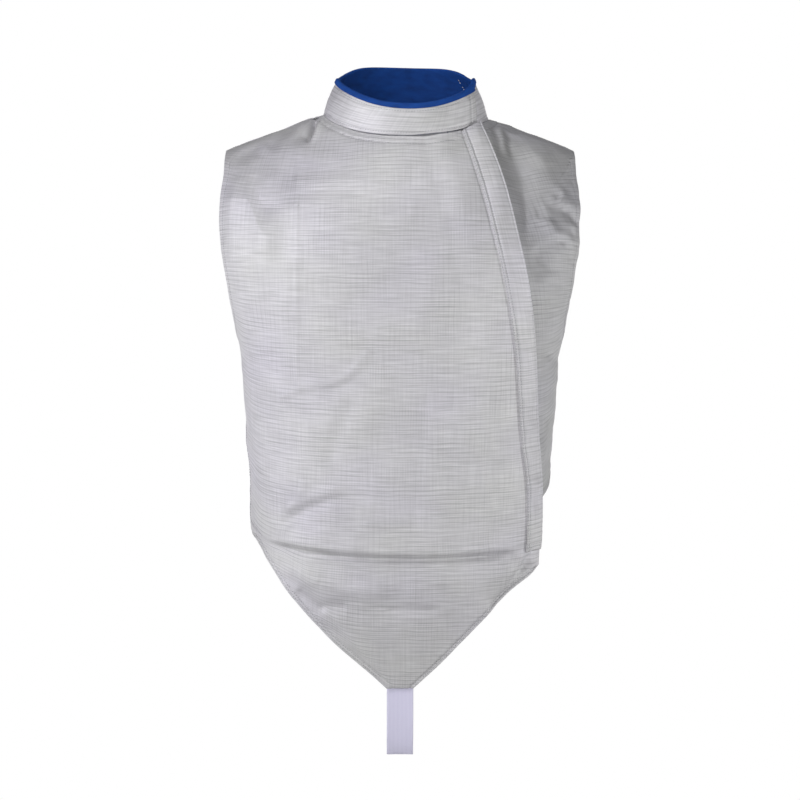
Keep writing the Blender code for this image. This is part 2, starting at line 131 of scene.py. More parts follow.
def rawRing(level):
    inYoke = level > form["tipLevel"]
    share = (form["tipLevel"] - level) / (form["tipLevel"] - form["underarmLevel"])
    share = np.clip(share, 0, 1)
    turn = np.arccos(1 - 2 * share)
    middle = (form["armholeTop"] + form["armholeBottom"]) / 2
    low = np.maximum(form["underarmLevel"] - level, 0)
    sideZ = middle + (form["armholeTop"] - middle) * np.cos(turn) - low
    backZ = yoke["backZ"][-1] + share * (form["underarmLevel"] - yoke["backZ"][-1]) - low
    rise = yoke["rise"][-1] - share * (yoke["rise"][-1] - yoke["rise"][0])
    ring = {
        "sideZ": np.where(inYoke, follow(yoke["level"], yoke["sideZ"], level), sideZ),
        "backZ": np.where(inYoke, follow(yoke["level"], yoke["backZ"], level), backZ),
        "centreX": np.where(inYoke, follow(yoke["level"], yoke["centreX"], level), 0),
        "rise": np.where(inYoke, follow(yoke["level"], yoke["rise"], level), rise),
        "power": follow(squareness["z"], squareness["power"], level),
    }
    halfWidth = np.where(
        inYoke,
        follow(yoke["level"], yoke["halfWidth"], level),
        follow(sides["z"], sides["halfWidth"], sideZ),
    )
    depths = {
        "front": follow(frontLine["z"], frontLine["depth"], level),
        "back": follow(backLine["z"], backLine["depth"], ring["backZ"]),
    }
    for half in ("front", "back"):
        reach = form[half + "Reach"] * np.sin(np.where(inYoke, 0, turn))
        ring[half + "Depth"], ring[half + "ReachNow"] = depths[half], reach
        cut = (1 - (reach / depths[half]) ** ring["power"]) ** (1 / ring["power"])
        ring[half + "Width"] = halfWidth / cut
    return ring


def ringAt(level):
    ring = rawRing(level)
    # widths are averaged over the rings near it, where the armholes would leave a shelf
    reach = form["evenOver"] * ease(form["tipLevel"] - 20, -200, level) * ease(-330, -290, level)
    near = [rawRing(level + reach * step) for step in np.linspace(-1, 1, form["evenSamples"])]
    for name in ("frontWidth", "backWidth"):
        ring[name] = sum(other[name] for other in near) / len(near)
    return ring


def foldDepth(x, z, folds):
    # long soft dents, each along its own sagging line
    depth = np.zeros(np.broadcast(x, z).shape)
    for x0, z0, x1, z1, sag, halfWide, deep in folds.values():
        length = math.hypot(x1 - x0, z1 - z0)
        runX, runZ = (x1 - x0) / length, (z1 - z0) / length
        along = ((x - x0) * runX + (z - z0) * runZ) / length
        off = (z - z0) * runX - (x - x0) * runZ - sag * 4 * along * (1 - along)
        fade = ease(-0.02, 0.14, along) * (1 - ease(0.8, 1.02, along))
        depth = depth + deep * fade * np.exp(-((off / halfWide) ** 2))
    return depth


def skinAt(level, share):
    # share is 0 at centre front, -1 and 1 at the sides and 2 at centre back
    level, share = np.broadcast_arrays(np.asarray(level, float), np.asarray(share, float))
    share = np.where(np.abs(share) > 2, share - np.copysign(4, share), share)
    ring = ringAt(level)
    front = np.abs(share) <= 1
    lap = np.where(front, np.abs(share), 2 - np.abs(share))
    depth, reach, width = (
        np.where(front, ring["front" + name], ring["back" + name])
        for name in ("Depth", "ReachNow", "Width")
    )
    centreZ = np.where(front, level, ring["backZ"])
    power = ring["power"]
    most = np.arccos(np.minimum((reach / depth) ** (power / 2), 1))
    angle = lap * most
    sign = np.copysign(1, share)
    x = sign * width * np.sin(angle) ** (2 / power)
    y = depth * np.maximum(np.cos(angle), 0) ** (2 / power)
    z = centreZ + (ring["sideZ"] - centreZ) * (np.sin(angle) / np.sin(most)) ** ring["rise"]
    z = z - form["neckTilt"] * sign * np.sin(angle) * ease(-50, form["neckLevel"], level)
    y = np.where(front, foldDepth(x, z, mainFolds) * np.minimum(y / 40, 1) - y, y)
    return np.stack([x + ring["centreX"], y, z], -1)


# Rows, columns and edges of a panel

samples = 241  # points on each ring
evenSeam = 0.15  # half the gap between two panels at a seam


def rowsAt(levels, first, last):
    # fine samples of every ring, with the distance along it
    shares = np.linspace(first, last, samples)
    points = skinAt(np.array(levels)[:, None], shares[None, :])
    steps = np.linalg.norm(np.diff(points, axis=1), axis=2)
    distances = np.concatenate([np.zeros((len(points), 1)), np.cumsum(steps, 1)], 1)
    return shares, distances, points


def flapDistances(rows):
    # how far along each ring the flap's edge and, below its corner, the right hem lie
    shares, distances, points = rows
    found = []
    for i in range(len(points)):
        z = points[i, :, 2]
        flap = follow(flapEdge["z"], flapEdge["x"], z)
        hem = follow(rightHem["z"], rightHem["x"], z)
        over = points[i, :, 0] - np.where(z > form["flapCornerLevel"], flap, hem)
        last = np.flatnonzero((over < 0) & (shares < 1)).max()
        part = over[last] / (over[last] - over[last + 1])
        found.append(distances[i, last] + part * (distances[i, last + 1] - distances[i, last]))
    return np.array(found)


def leftDistances(rows, levels):
    _, distances, points = rows
    half = samples // 2 + 1
    hem = -follow(leftHem["z"], leftHem["x"], levels)
    low = [np.interp(hem[i], points[i, :half, 0], distances[i, :half]) for i in range(len(hem))]
    return np.where(levels < form["cornerLevel"], low, evenSeam)


def levelsDown(bottom, spacing):
    # even rows on the cloth, closer together at the neck seam and where the armhole turns
    tip, underarm = form["tipLevel"], form["underarmLevel"]
    armRun, neckRun = 230, 14  # cloth beside the armhole, and below the neck seam
    seamEnd = form["neckLevel"] - neckRun
    seam = np.linspace(form["neckLevel"], seamEnd, round(2 * neckRun / spacing) + 1)[:-1]
    top = np.linspace(seamEnd, tip, round((seamEnd - tip) / spacing) + 1)[:-1]
    turns = np.linspace(0, math.pi, round(armRun / spacing) + 1)
    arm = tip - (tip - underarm) * (1 - np.cos(turns)) / 2
    low = np.linspace(underarm, bottom, round((underarm - bottom) / spacing) + 1)[1:]
    levels = np.concatenate([seam, top, arm, low])
    return levels if len(levels) % 2 else np.delete(levels, 1)


def sharesAt(places, rows):
    shares, distances, _ = rows
    return np.array([np.interp(places[i], distances[i], shares) for i in range(len(places))])


def gridNormals(points):
    normals = np.cross(np.gradient(points, axis=0), np.gradient(points, axis=1))
    return normals / np.maximum(np.linalg.norm(normals, axis=2, keepdims=True), 1e-9)


def evenNormals(points, levels):
    # directions that turn slowly down the panel, so that raised cloth never overlaps itself
    near = np.exp(-(((levels[:, None] - levels) / 4.5) ** 2)) * np.abs(np.gradient(levels))
    normals = np.einsum("ij,jkc->ikc", near, gridNormals(points))
    return normals / np.linalg.norm(normals, axis=2, keepdims=True)


def clothLines(points):
    # places of the threads in the cloth: u round the body, v down it, in mm
    rounds = np.linalg.norm(np.diff(points[..., :2], axis=1), axis=2)
    u = np.concatenate([np.zeros((len(points), 1)), np.cumsum(rounds, 1)], 1)
    middle = points.shape[1] // 2
    zero = [np.interp(0, points[i, :, 0], u[i]) for i in range(len(points))]
    u = u - (np.array(zero)[:, None] if points[0, 0, 0] < points[0, -1, 0] else u[:, middle:middle + 1])
    normals = gridNormals(points)
    lean = np.sqrt(1 + (normals[..., 2] / np.maximum(np.abs(normals[..., 1]), 0.3)) ** 2)
    downs = -np.diff(points[..., 2], axis=0) * (lean[1:] + lean[:-1]) / 2
    v = np.concatenate([np.zeros((1, points.shape[1])), np.cumsum(downs, 0)], 0)
    # v is the height itself along one row over the chest
    row = int(np.argmin(np.abs(points[:, middle, 2] + 200)))
    return u, v - v[row] - points[row, :, 2]


def fromEdge(points, line):
    # distance from every point to an edge of the panel, and the place along that edge
    along = runOf(line)
    best = np.full(points.shape[:2], 1e9)
    place = np.zeros(points.shape[:2])
    for start, end, at in zip(line[:-1], line[1:], along):
        run = end - start
        length = max(float(np.linalg.norm(run)), 1e-6)
        t = np.clip((points - start) @ run / length**2, 0, 1)
        gap = np.linalg.norm(points - start - t[..., None] * run, axis=2)
        nearer = gap < best
        best = np.where(nearer, gap, best)
        place = np.where(nearer, at + t * length, place)
    return best, place


def runOf(line):
    # distance along a line of points
    return np.concatenate([[0], np.cumsum(np.linalg.norm(np.diff(line, axis=0), axis=1))])


def thinned(line, step):
    return np.concatenate([line[:-1:step], line[-1:]])


# Unevenness of cloth that is worn, and of cloth that is sewn

def waves(a, b, seed, lengths, count=9):
    # a few long crossing waves, from -1 to 1, always the same for one seed
    random = np.random.default_rng(seed)
    total = np.zeros(np.broadcast(a, b).shape)
    for _ in range(count):
        length = random.uniform(*lengths)
        turn = random.uniform(0, math.pi)
        phase = random.uniform(0, 2 * math.pi)
        total = total + np.sin((a * math.cos(turn) + b * math.sin(turn)) * 2 * math.pi / length + phase)
    return total / count**0.5


def ripple(place, seed):
    random = np.random.default_rng(seed)
    total = np.zeros(np.shape(place))
    for length in (6.1, 9.3, 15.7, 27.0):
        slow = 1 + 0.6 * np.sin(place / (length * 3.1) + random.uniform(0, 6))
        total = total + slow * np.sin(place * 2 * math.pi / length + random.uniform(0, 6))
    return total / 3


def sewn(distance, place, at, deep, pucker, seed):
    # a stitch line sinks into the cloth and gathers it a little on both sides
    off = distance - at
    return pucker * ripple(place, seed) * np.exp(-((off / 4.5) ** 2)) - deep * np.exp(-((off / 1.2) ** 2))


def turnedIn(distance, wide, high):
    # the cloth is double where its edge is turned in
    return high * (1 - ease(wide - 1.2, wide + 0.8, distance))


# Meshes

def addMesh(name, points, faces, looks, uv, lookOf=None):
    mesh = bpy.data.meshes.new(name)
    mesh.from_pydata((np.asarray(points) * mm).tolist(), [], faces)
    mesh.polygons.foreach_set("use_smooth", [True] * len(mesh.polygons))
    for look in looks:
        mesh.materials.append(look)
    if lookOf is not None:
        mesh.polygons.foreach_set("material_index", lookOf)
    corners = np.empty(len(mesh.loops), np.int32)
    mesh.loops.foreach_get("vertex_index", corners)
    layer = mesh.uv_layers.new(name="cloth")
    layer.data.foreach_set("uv", (np.asarray(uv)[corners] * mm).astype(np.float32).ravel())
    made = bpy.data.objects.new(name, mesh)
    bpy.context.scene.collection.objects.link(made)
    return made


def addCloth(name, outer, u, v, wall, looks, bulge=0.25):
    # a thin closed wall under a grid of points, with a coarser grid on its hidden side
    rows, columns = outer.shape[:2]
    normals = gridNormals(outer)
    inner = (outer - normals * wall)[::2, ::2]
    innerColumns = inner.shape[1]
    grid = np.arange(rows * columns).reshape(rows, columns)
    loop = np.concatenate([grid[0, :-1], grid[:-1, -1], grid[-1, :0:-1], grid[:0:-1, 0]])
    away = np.concatenate([
        (outer[0] - outer[1])[:-1], (outer[:, -1] - outer[:, -2])[:-1],
        (outer[-1] - outer[-2])[:0:-1], (outer[:, 0] - outer[:, 1])[:0:-1],
    ])
    away = away / np.maximum(np.linalg.norm(away, axis=1, keepdims=True), 1e-9)
    flat = outer.reshape(-1, 3)
    rim = flat[loop] - normals.reshape(-1, 3)[loop] * wall / 2 + away * bulge
    a = grid[:-1, :-1].ravel()
    faces = np.stack([a, a + columns, a + columns + 1, a + 1], 1).tolist()
    outerCount = len(faces)
    base = rows * columns
    count = len(loop)
    k = np.arange(count)
    faces += np.stack([loop, loop[(k + 1) % count], base + (k + 1) % count, base + k], 1).tolist()
    under = base + count
    innerGrid = under + np.arange(inner.shape[0] * innerColumns).reshape(inner.shape[:2])
    innerLoop = np.concatenate([
        innerGrid[0, :-1], innerGrid[:-1, -1], innerGrid[-1, :0:-1], innerGrid[:0:-1, 0],
    ])
    half = np.arange(count // 2)
    one, two, three = base + 2 * half, base + 2 * half + 1, base + (2 * half + 2) % count
    near, far = innerLoop, innerLoop[(half + 1) % len(innerLoop)]
    for corners in ((one, two, near), (two, far, near), (two, three, far)):
        faces += np.stack(corners, 1).tolist()
    rimCount = len(faces) - outerCount
    b = innerGrid[:-1, :-1].ravel()
    faces += np.stack([b, b + 1, b + innerColumns + 1, b + innerColumns], 1).tolist()
    points = np.concatenate([flat, rim, inner.reshape(-1, 3)])
    uv = np.stack([u, v], -1)
    uv = np.concatenate([uv.reshape(-1, 2), uv.reshape(-1, 2)[loop], uv[::2, ::2].reshape(-1, 2)])
    lookOf = [0] * (outerCount + rimCount) + [len(looks) - 1] * (len(faces) - outerCount - rimCount)
    return addMesh(name, points, faces, looks, uv, lookOf)


def addSweep(name, sections, u, v, looks):
    # a closed bar through sections that all hold the same number of points
    steps, count = sections.shape[:2]
    grid = np.arange(steps * count).reshape(steps, count)
    a, b = grid[:-1], np.roll(grid[:-1], -1, 1)
    c, d = np.roll(grid[1:], -1, 1), grid[1:]
    faces = np.stack([a, b, c, d], -1).reshape(-1, 4).tolist()
    faces.append(grid[0, ::-1].tolist())
    faces.append(grid[-1].tolist())
    uv = np.stack([u, v], -1).reshape(-1, 2)
    return addMesh(name, sections.reshape(-1, 3), faces, looks, uv)


def sampled(grid, row, column):
    # a point between the points of a grid
    row = np.clip(row, 0, grid.shape[0] - 1.001)
    column = np.clip(column, 0, grid.shape[1] - 1.001)
    i, j = row.astype(int), column.astype(int)
    s, t = (row - i)[:, None], (column - j)[:, None]
    top = grid[i, j] * (1 - t) + grid[i, j + 1] * t
    low = grid[i + 1, j] * (1 - t) + grid[i + 1, j + 1] * t
    return top * (1 - s) + low * s


def traceDown(field, at, fromRight=False):
    # the column in every row where the distance from the side edge reaches a value
    field = field[:, ::-1] if fromRight else field
    columns = np.array([np.interp(at, np.maximum.accumulate(row), np.arange(len(row))) for row in field])
    return field.shape[1] - 1 - columns if fromRight else columns


def traceAcross(field, at):
    # the row in every column where the distance from the top edge reaches a value
    return np.array([np.interp(at, np.maximum.accumulate(c), np.arange(len(c))) for c in field.T])


def stitchRun(points, normals, rows, columns, zigzag=0.0):
    # one line of stitches through places in a grid, with the way out of the cloth at each
    rows, columns = np.broadcast_arrays(np.asarray(rows, float), np.asarray(columns, float))
    return sampled(points, rows, columns), sampled(normals, rows, columns), zigzag


thread = {"pitch": 3.1, "length": 2.3, "wide": 0.42, "high": 0.34, "over": 0.08}


def addThread(name, runs, look):
    # stitches as small beads of thread along lines on the cloth
    ring = np.array([[0, 1, 0], [0, 0, 1], [0, -1, 0], [0, 0, -1]], float)
    body = np.concatenate([ring * 0.75 + [[-0.55, 0, 0]], ring, ring * 0.75 + [[0.55, 0, 0]]])
    bead = np.concatenate([body, [[-1, 0, -0.5], [1, 0, -0.5]]])
    bead = bead * [thread["length"] / 2, thread["wide"] / 2, thread["high"] / 2] + [0, 0, thread["over"]]
    after = (1, 2, 3, 0)
    faces = [(i + j, i + after[j], i + 4 + after[j], i + 4 + j) for i in (0, 4) for j in range(4)]
    for j in range(4):
        faces += [(12, after[j], j), (13, 8 + j, 8 + after[j])]
    points, shapes = [], []
    for line, normals, zigzag in runs:
        along = runOf(line)
        places = np.arange(thread["pitch"] / 2, along[-1], thread["pitch"])
        middle = np.stack([np.interp(places, along, line[:, k]) for k in range(3)], 1)
        up = np.stack([np.interp(places, along, normals[:, k]) for k in range(3)], 1)
        ahead = np.stack([np.interp(places + 0.8, along, line[:, k]) for k in range(3)], 1)
        behind = np.stack([np.interp(places - 0.8, along, line[:, k]) for k in range(3)], 1)
        run = ahead - behind
        run /= np.maximum(np.linalg.norm(run, axis=1, keepdims=True), 1e-9)
        side = np.cross(up, run)
        lean = zigzag * np.where(np.arange(len(places)) % 2, 1, -1)[:, None]
        run = run + side * lean
        run /= np.linalg.norm(run, axis=1, keepdims=True)
        side = np.cross(up, run)
        for k in range(len(places)):
            start = len(points) * len(bead)
            points.append(middle[k] + bead @ np.array([run[k], side[k], up[k]]))
            shapes += [[start + corner for corner in face] for face in faces]
    points = np.concatenate(points)
    return addMesh(name, points, shapes, [look], np.zeros((len(points), 2)))


# Colours and shaders

def linear(hexColour):
    # sRGB hex to the linear values that shaders take
    channels = [int(hexColour[i:i + 2], 16) / 255 for i in (1, 3, 5)]
    return tuple(c / 12.92 if c <= 0.04045 else ((c + 0.055) / 1.055) ** 2.4 for c in channels) + (1.0,)


def addNode(tree, kind, settings=None, links=None):
    # one node, with its settings and the sockets that feed it
    node = tree.nodes.new(kind)
    for key, value in (settings or {}).items():
        if isinstance(key, str) and hasattr(node, key):
            setattr(node, key, value)
        else:
            node.inputs[key].default_value = value
    for key, socket in (links or {}).items():
        tree.links.new(socket, node.inputs[key])
    return node


def newMaterial(name, settings):
    made = bpy.data.materials.new(name)
    made.use_nodes = True
    shader = made.node_tree.nodes["Principled BSDF"]
    for key, value in settings.items():
        shader.inputs[key].default_value = value
    return made, made.node_tree, shader


def placeInCloth(tree):
    # metres along the threads of the piece's own cut
    return addNode(tree, "ShaderNodeTexCoord").outputs["UV"]


def threadLines(tree, coordinate, axis, period, wobble, thin):
    # soft lines across one thread direction, 1 on the line and 0 between, a period in metres apart
    lines = addNode(
        tree, "ShaderNodeTexWave",
        {
            "wave_type": "BANDS", "bands_direction": axis, "Scale": 2 * math.pi / (20 * period),
            "Distortion": wobble, "Detail": 1.0, "Detail Scale": 0.35,
        },
        {"Vector": coordinate},
    )
    return addNode(
        tree, "ShaderNodeMapRange",
        {
            "interpolation_type": "SMOOTHSTEP", "From Min": thin, "From Max": 0.0, "To Min": 0.0,
            "To Max": 1.0,
        },
        {"Value": lines.outputs["Color"]},
    ).outputs["Result"]


def unevenTone(tree, coordinate, scale, low, high):
    # slow change of tone: scale is patches in a metre across and down, so 30 is 33 mm, and low and
    # high are what the colour is multiplied by
    stretched = addNode(tree, "ShaderNodeMapping", {"Scale": scale}, {"Vector": coordinate})
    noise = addNode(
        tree, "ShaderNodeTexNoise", {"Scale": 1.0, "Detail": 2.0}, {"Vector": stretched.outputs[0]},
    )
    return addNode(
        tree, "ShaderNodeMapRange",
        {"From Min": 0.3, "From Max": 0.7, "To Min": low, "To Max": high},
        {"Value": noise.outputs["Fac"]},
    ).outputs["Result"]


# Materials

# Lame: polyester cloth woven with stainless-steel thread. The steel gives a broad soft shine, and
# the threads show as fine level lines with a weaker upright set.
lameWeave = {
    # The real threads are 0.4 mm apart, too fine for the picture, so it has one line for each 6 or 7
    # threads, and every second one is stronger.
    "row": 5.2 * mm, "halfRow": 2.6 * mm, "upright": 5.9 * mm, "halfUpright": 2.95 * mm,
    # one slub is 33 mm long and 1.6 mm high, and an upright one about the same
    "slub": (30.0, 640.0, 1.0), "crossSlub": (620.0, 24.0, 1.0),
    "handPatch": (13.0, 17.0, 1.0), "castPatch": (7.0, 9.0, 1.0), "relief": 0.3 * mm,
}


def lame(name, silver, cool, shadow):
    made, tree, shader = newMaterial(name, {"Metallic": 0.55, "Roughness": 0.6})
    place = placeInCloth(tree)
    # Every set of lines comes and goes in patches of 26 to 90 mm: direction, distance apart, wobble,
    # share of the line that is soft, patches in a metre, weakest and strongest, strength
    sets = (
        ("Y", "row", 2.6, 0.5, (11.0, 38.0, 1.0), (0.25, 1.3), 0.17),
        ("Y", "halfRow", 2.2, 0.6, (19.0, 27.0, 1.0), (-0.2, 1.2), 0.15),
        ("X", "upright", 2.2, 0.4, (27.0, 15.0, 1.0), (-0.5, 1.1), 0.07),
        ("X", "halfUpright", 1.8, 0.5, (21.0, 24.0, 1.0), (-0.9, 1.1), 0.09),
    )
    total = None
    for axis, period, wobble, thin, scale, ends, strength in sets:
        lines = threadLines(tree, place, axis, lameWeave[period], wobble, thin)
        patch = unevenTone(tree, place, scale, ends[0] * strength, ends[1] * strength)
        patch = addNode(tree, "ShaderNodeMath", {"operation": "MAXIMUM", 1: 0.0}, {0: patch}).outputs[0]
        feeds = {0: lines, 1: patch}
        if total is not None:
            feeds[2] = total
        total = addNode(tree, "ShaderNodeMath", {"operation": "MULTIPLY_ADD", 2: 0.0}, feeds).outputs[0]
    # the steel takes a cooler cast in patches of 11 to 14 cm
    cast = unevenTone(tree, place, lameWeave["castPatch"], 0.0, 1.0)
    cloth = addNode(
        tree, "ShaderNodeMix", {"data_type": "RGBA", 6: linear(silver), 7: linear(cool)}, {0: cast},
    ).outputs[2]
    cloth = addNode(
        tree, "ShaderNodeMix", {"data_type": "RGBA", 7: linear(shadow)}, {0: total, 6: cloth},
    ).outputs[2]
    # slubs: some threads run brighter or duller for a while
    tone = unevenTone(tree, place, lameWeave["slub"], 0.86, 1.07)
    for pattern, low, high in (("crossSlub", 0.95, 1.04), ("handPatch", 0.96, 1.03)):
        other = unevenTone(tree, place, lameWeave[pattern], low, high)
        tone = addNode(tree, "ShaderNodeMath", {"operation": "MULTIPLY"}, {0: tone, 1: other}).outputs[0]
    both = addNode(tree, "ShaderNodeVectorMath", {"operation": "SCALE"}, {0: cloth, "Scale": tone})
    tree.links.new(both.outputs[0], shader.inputs["Base Color"])
    bump = addNode(
        tree, "ShaderNodeBump", {"Strength": 0.4, "Distance": lameWeave["relief"], "invert": True},
        {"Height": total},
    )
    tree.links.new(bump.outputs[0], shader.inputs["Normal"])
    return made


# Collar lining: plain dyed polyester, matt, with a fine dull ribbed face.
def liningCloth(name):
    made, tree, shader = newMaterial(name, {"Roughness": 0.75, "Specular IOR Level": 0.25})
    place = placeInCloth(tree)
    tone = unevenTone(tree, place, (60.0, 140.0, 1.0), 0.8, 1.15)  # patches of 17 by 7 mm
    both = addNode(
        tree, "ShaderNodeVectorMath", {"operation": "SCALE", 0: linear("#0A3E88")[:3]}, {"Scale": tone},
    ).outputs[0]
    tree.links.new(both, shader.inputs["Base Color"])
    ribs = threadLines(tree, place, "X", 1.6 * mm, 0.8, 0.6)  # the real rib is 0.6 mm
    bump = addNode(tree, "ShaderNodeBump", {"Strength": 0.3, "Distance": 0.2 * mm}, {"Height": ribs})
    tree.links.new(bump.outputs[0], shader.inputs["Normal"])
    return made


# Crotch strap: knitted elastic, polyester over rubber threads that run along it as low ribs.
def elastic(name):
    made, tree, shader = newMaterial(name, {"Roughness": 0.65, "Sheen Weight": 0.2})
    place = placeInCloth(tree)
    ribs = threadLines(tree, place, "X", 1.5 * mm, 0.2, 0.7)
    cross = threadLines(tree, place, "Y", 1.9 * mm, 0.6, 0.5)
    part = addNode(tree, "ShaderNodeMath", {"operation": "MULTIPLY_ADD", 1: 0.15}, {0: cross, 2: ribs})
    cloth = addNode(
        tree, "ShaderNodeMix",
        {"data_type": "RGBA", 6: linear("#E4E2F6"), 7: linear("#D4D1EA")}, {0: ribs},
    ).outputs[2]
    tree.links.new(cloth, shader.inputs["Base Color"])
    bump = addNode(
        tree, "ShaderNodeBump", {"Strength": 0.4, "Distance": 0.25 * mm, "invert": True},
        {"Height": part.outputs[0]},
    )
    tree.links.new(bump.outputs[0], shader.inputs["Normal"])
    return made


# Facing: plain polyester taffeta, the smooth grey inner side of the vest, woven close and matt.
def taffeta(name):
    made, tree, shader = newMaterial(name, {"Roughness": 0.7})
    tone = unevenTone(tree, placeInCloth(tree), (90.0, 90.0, 1.0), 0.92, 1.05)  # patches of 11 mm
    both = addNode(
        tree, "ShaderNodeVectorMath", {"operation": "SCALE", 0: linear("#C6C6C8")[:3]}, {"Scale": tone},
    ).outputs[0]
    tree.links.new(both, shader.inputs["Base Color"])
    return made


# Sewing thread: spun polyester, matt, slightly fuzzy.
def sewingThread(name, colour):
    made, tree, shader = newMaterial(name, {"Roughness": 0.8, "Base Color": linear(colour)})
    grain = addNode(tree, "ShaderNodeTexNoise", {"Scale": 1500.0})  # fibres under 1 mm
    bump = addNode(
        tree, "ShaderNodeBump", {"Strength": 0.3, "Distance": 0.1 * mm}, {"Height": grain.outputs["Fac"]},
    )
    tree.links.new(bump.outputs[0], shader.inputs["Normal"])
    return made


silverLame = lame("stainlessSteelLame", "#D7D7D6", "#D4D2D9", "#67666B")
# The same cloth in darker colours, as painted shade: the side front lies in shade under the flap and faces
# away from the light.
shadedLame = lame("stainlessSteelLamePaintedShade", "#BDBDBC", "#BBBAC0", "#545457")
facing = taffeta("polyesterTaffeta")
blueCloth = liningCloth("bluePolyesterLining")
whiteElastic = elastic("knittedElastic")
greyThread = sewingThread("greyPolyesterThread", "#75747B")
paleThread = sewingThread("palePolyesterThread", "#DAD9E0")
print("materials made")


# Main front, from the left side seam to the flap's edge and down to the point

# the flap lies this much over the side front, near its edge and down to its foot
flapLift = {"full": 3.3, "fullAt": 50.0, "noneAt": 78.0, "fadeFrom": -470.0, "fadeTo": -530.0}


def liftAt(distance, level):
    across = ease(flapLift["noneAt"], flapLift["fullAt"], distance)
    return flapLift["full"] * across * ease(flapLift["fadeTo"], flapLift["fadeFrom"], level)


band = {
    "flat": (0.028, 0.5), "wall": 1.8, "out": 1.9, "lowLevel": -488.0, "wide": 27.5, "innerLine": 23.2,
    "freeLine": 2.0, "edgeLine": 26.6, "spacing": 1.75,
}
front = {
    "flat": (0.56, 0.69), "area": 0.25, "wall": 1.2, "spacing": 1.75, "leftHem": 6.2, "rightHem": 9.0,
    "neckBand": 10.0, "armFacing": 7.0, "slitTop": -352.0, "slitStrip": 15.0, "tackBar": (-402.0, -412.0),
}
# Folds that the picture shows: x0, z0, x1, z1, sag, half the width, height outwards
frontFolds = {
    "shoulderStroke": (-150, -36, -116, -4, 0, 7, -2.3),
    "shoulderStrokeOuter": (-188, -46, -155, -34, 0, 7, -1.7),
    "neckPullLip": (-84, 2, -99, -30, -2, 4, 2.4),
    "neckPullLine": (-90, 10, -104, -29, -1, 3.2, -12.0),
    "neckPullWall": (-94, 8, -110, -28, -1, 5.5, -3.2),
    "chestRidgeHigh": (-120, -72, -18, -71, 1, 6, 0.7),
    "chestDip": (-120, -86, -18, -85, 1, 6, -0.8),
    "chestRidgeLow": (-120, -118, -18, -117, 2, 8, 0.9),
    "press": (-114, -30, -113, -345, 1, 2.6, 0.6),
    "pressSide": (-126, -150, -124, -300, 0, 13, 1.3),
    "waveA": (-30, -255, -56, -286, -2, 5, 1.3),
    "waveB": (-50, -280, -92, -296, 2, 5, 1.3),
    "waveC": (-84, -291, -138, -312, -2, 6, 1.3),
    "waveShade": (-26, -272, -92, -309, 2, 8, -1.3),
    "fallA": (40, -290, 28, -425, 2, 8, 1.7),
    "fallAShade": (58, -300, 48, -430, 2, 9, -1.3),
    "fallB": (-48, -300, -80, -388, -2, 9, -1.7),
    "fallC": (80, -296, 106, -378, -2, 5.5, 1.7),
    "fallD": (83, -372, 103, -446, 2, 5.5, 1.7),
    "fallDShade": (96, -300, 116, -400, 0, 6, -1.3),
    "hipRidge": (-104, -402, -130, -438, 2, 7, 1.7),
    "hipArc": (-136, -463, -84, -424, 5, 8, -2.7),
    "hipArcEnd": (-92, -427, -30, -419, 3, 7, -1.9),
    "hipArcLip": (-128, -441, -60, -408, 4, 7, 1.7),
    "shortDip": (-50, -437, 8, -436, 1, 4, -1.1),
    "shortRidge": (-44, -449, 16, -448, 1, 3.4, 1.5),
    "shortDipRight": (40, -444, 72, -449, 0, 4, -0.9),
    "creaseLip": (-156, -470, 140, -477, -7, 5, 2.6),
    "creaseLine": (-156, -478.5, 142, -485, -7, 3, -2.4),
    "creaseShade": (-150, -488, 100, -496, -8, 9, -1.4),
    "belowCrease": (-120, -516, 4, -523, -4, 14, 2.5),
    "belowBlob": (-112, -504, -88, -516, 0, 8, 1.3),
    "lowArc": (-116, -528, -84, -552, -2, 7, -2.3),
    "lowArcEnd": (-92, -549, -58, -546, 2, 6, -1.7),
    "lowLine": (-18, -548, 46, -549, 1, 4.5, -1.5),
    "hemPull": (147, -488, 98, -552, 4, 5.5, -4.0),
    "hemPullRidge": (152, -500, 118, -548, 2, 4, 1.6),
    "cornerPinch": (151, -474, 139, -512, 1, 3.2, -2.6),
}
armCrest = {
    "z": -93.0, "turnFrom": -170.0, "turnTo": -148.0, "turnDown": 36.0, "high": 5.0, "above": 30.0,
    "below": 74.0,
}


def armCrestAt(x, z):
    # the cloth beside the left armhole leans out to a sharp level crest, and falls back slowly below it
    down = armCrest["z"] - armCrest["turnDown"] * ease(armCrest["turnFrom"], armCrest["turnTo"], x) - z
    rise = np.clip(1 + down / armCrest["above"], 0, 1) ** 1.3
    fall = np.clip(1 - down / armCrest["below"], 0, 1) ** 1.15
    return armCrest["high"] * np.where(down < 0, rise, fall) * ease(-124, -152, x)


def frontGrid(levels, columnsFrom):
    # base points of a panel of the front, and each point's distance from the flap's edge
    rows = rowsAt(levels, -1, 1)
    left, right = leftDistances(rows, levels), flapDistances(rows)
    places = columnsFrom(left, right)
    shares = sharesAt(places, rows)
    return skinAt(levels[:, None], shares), right[:, None] - places


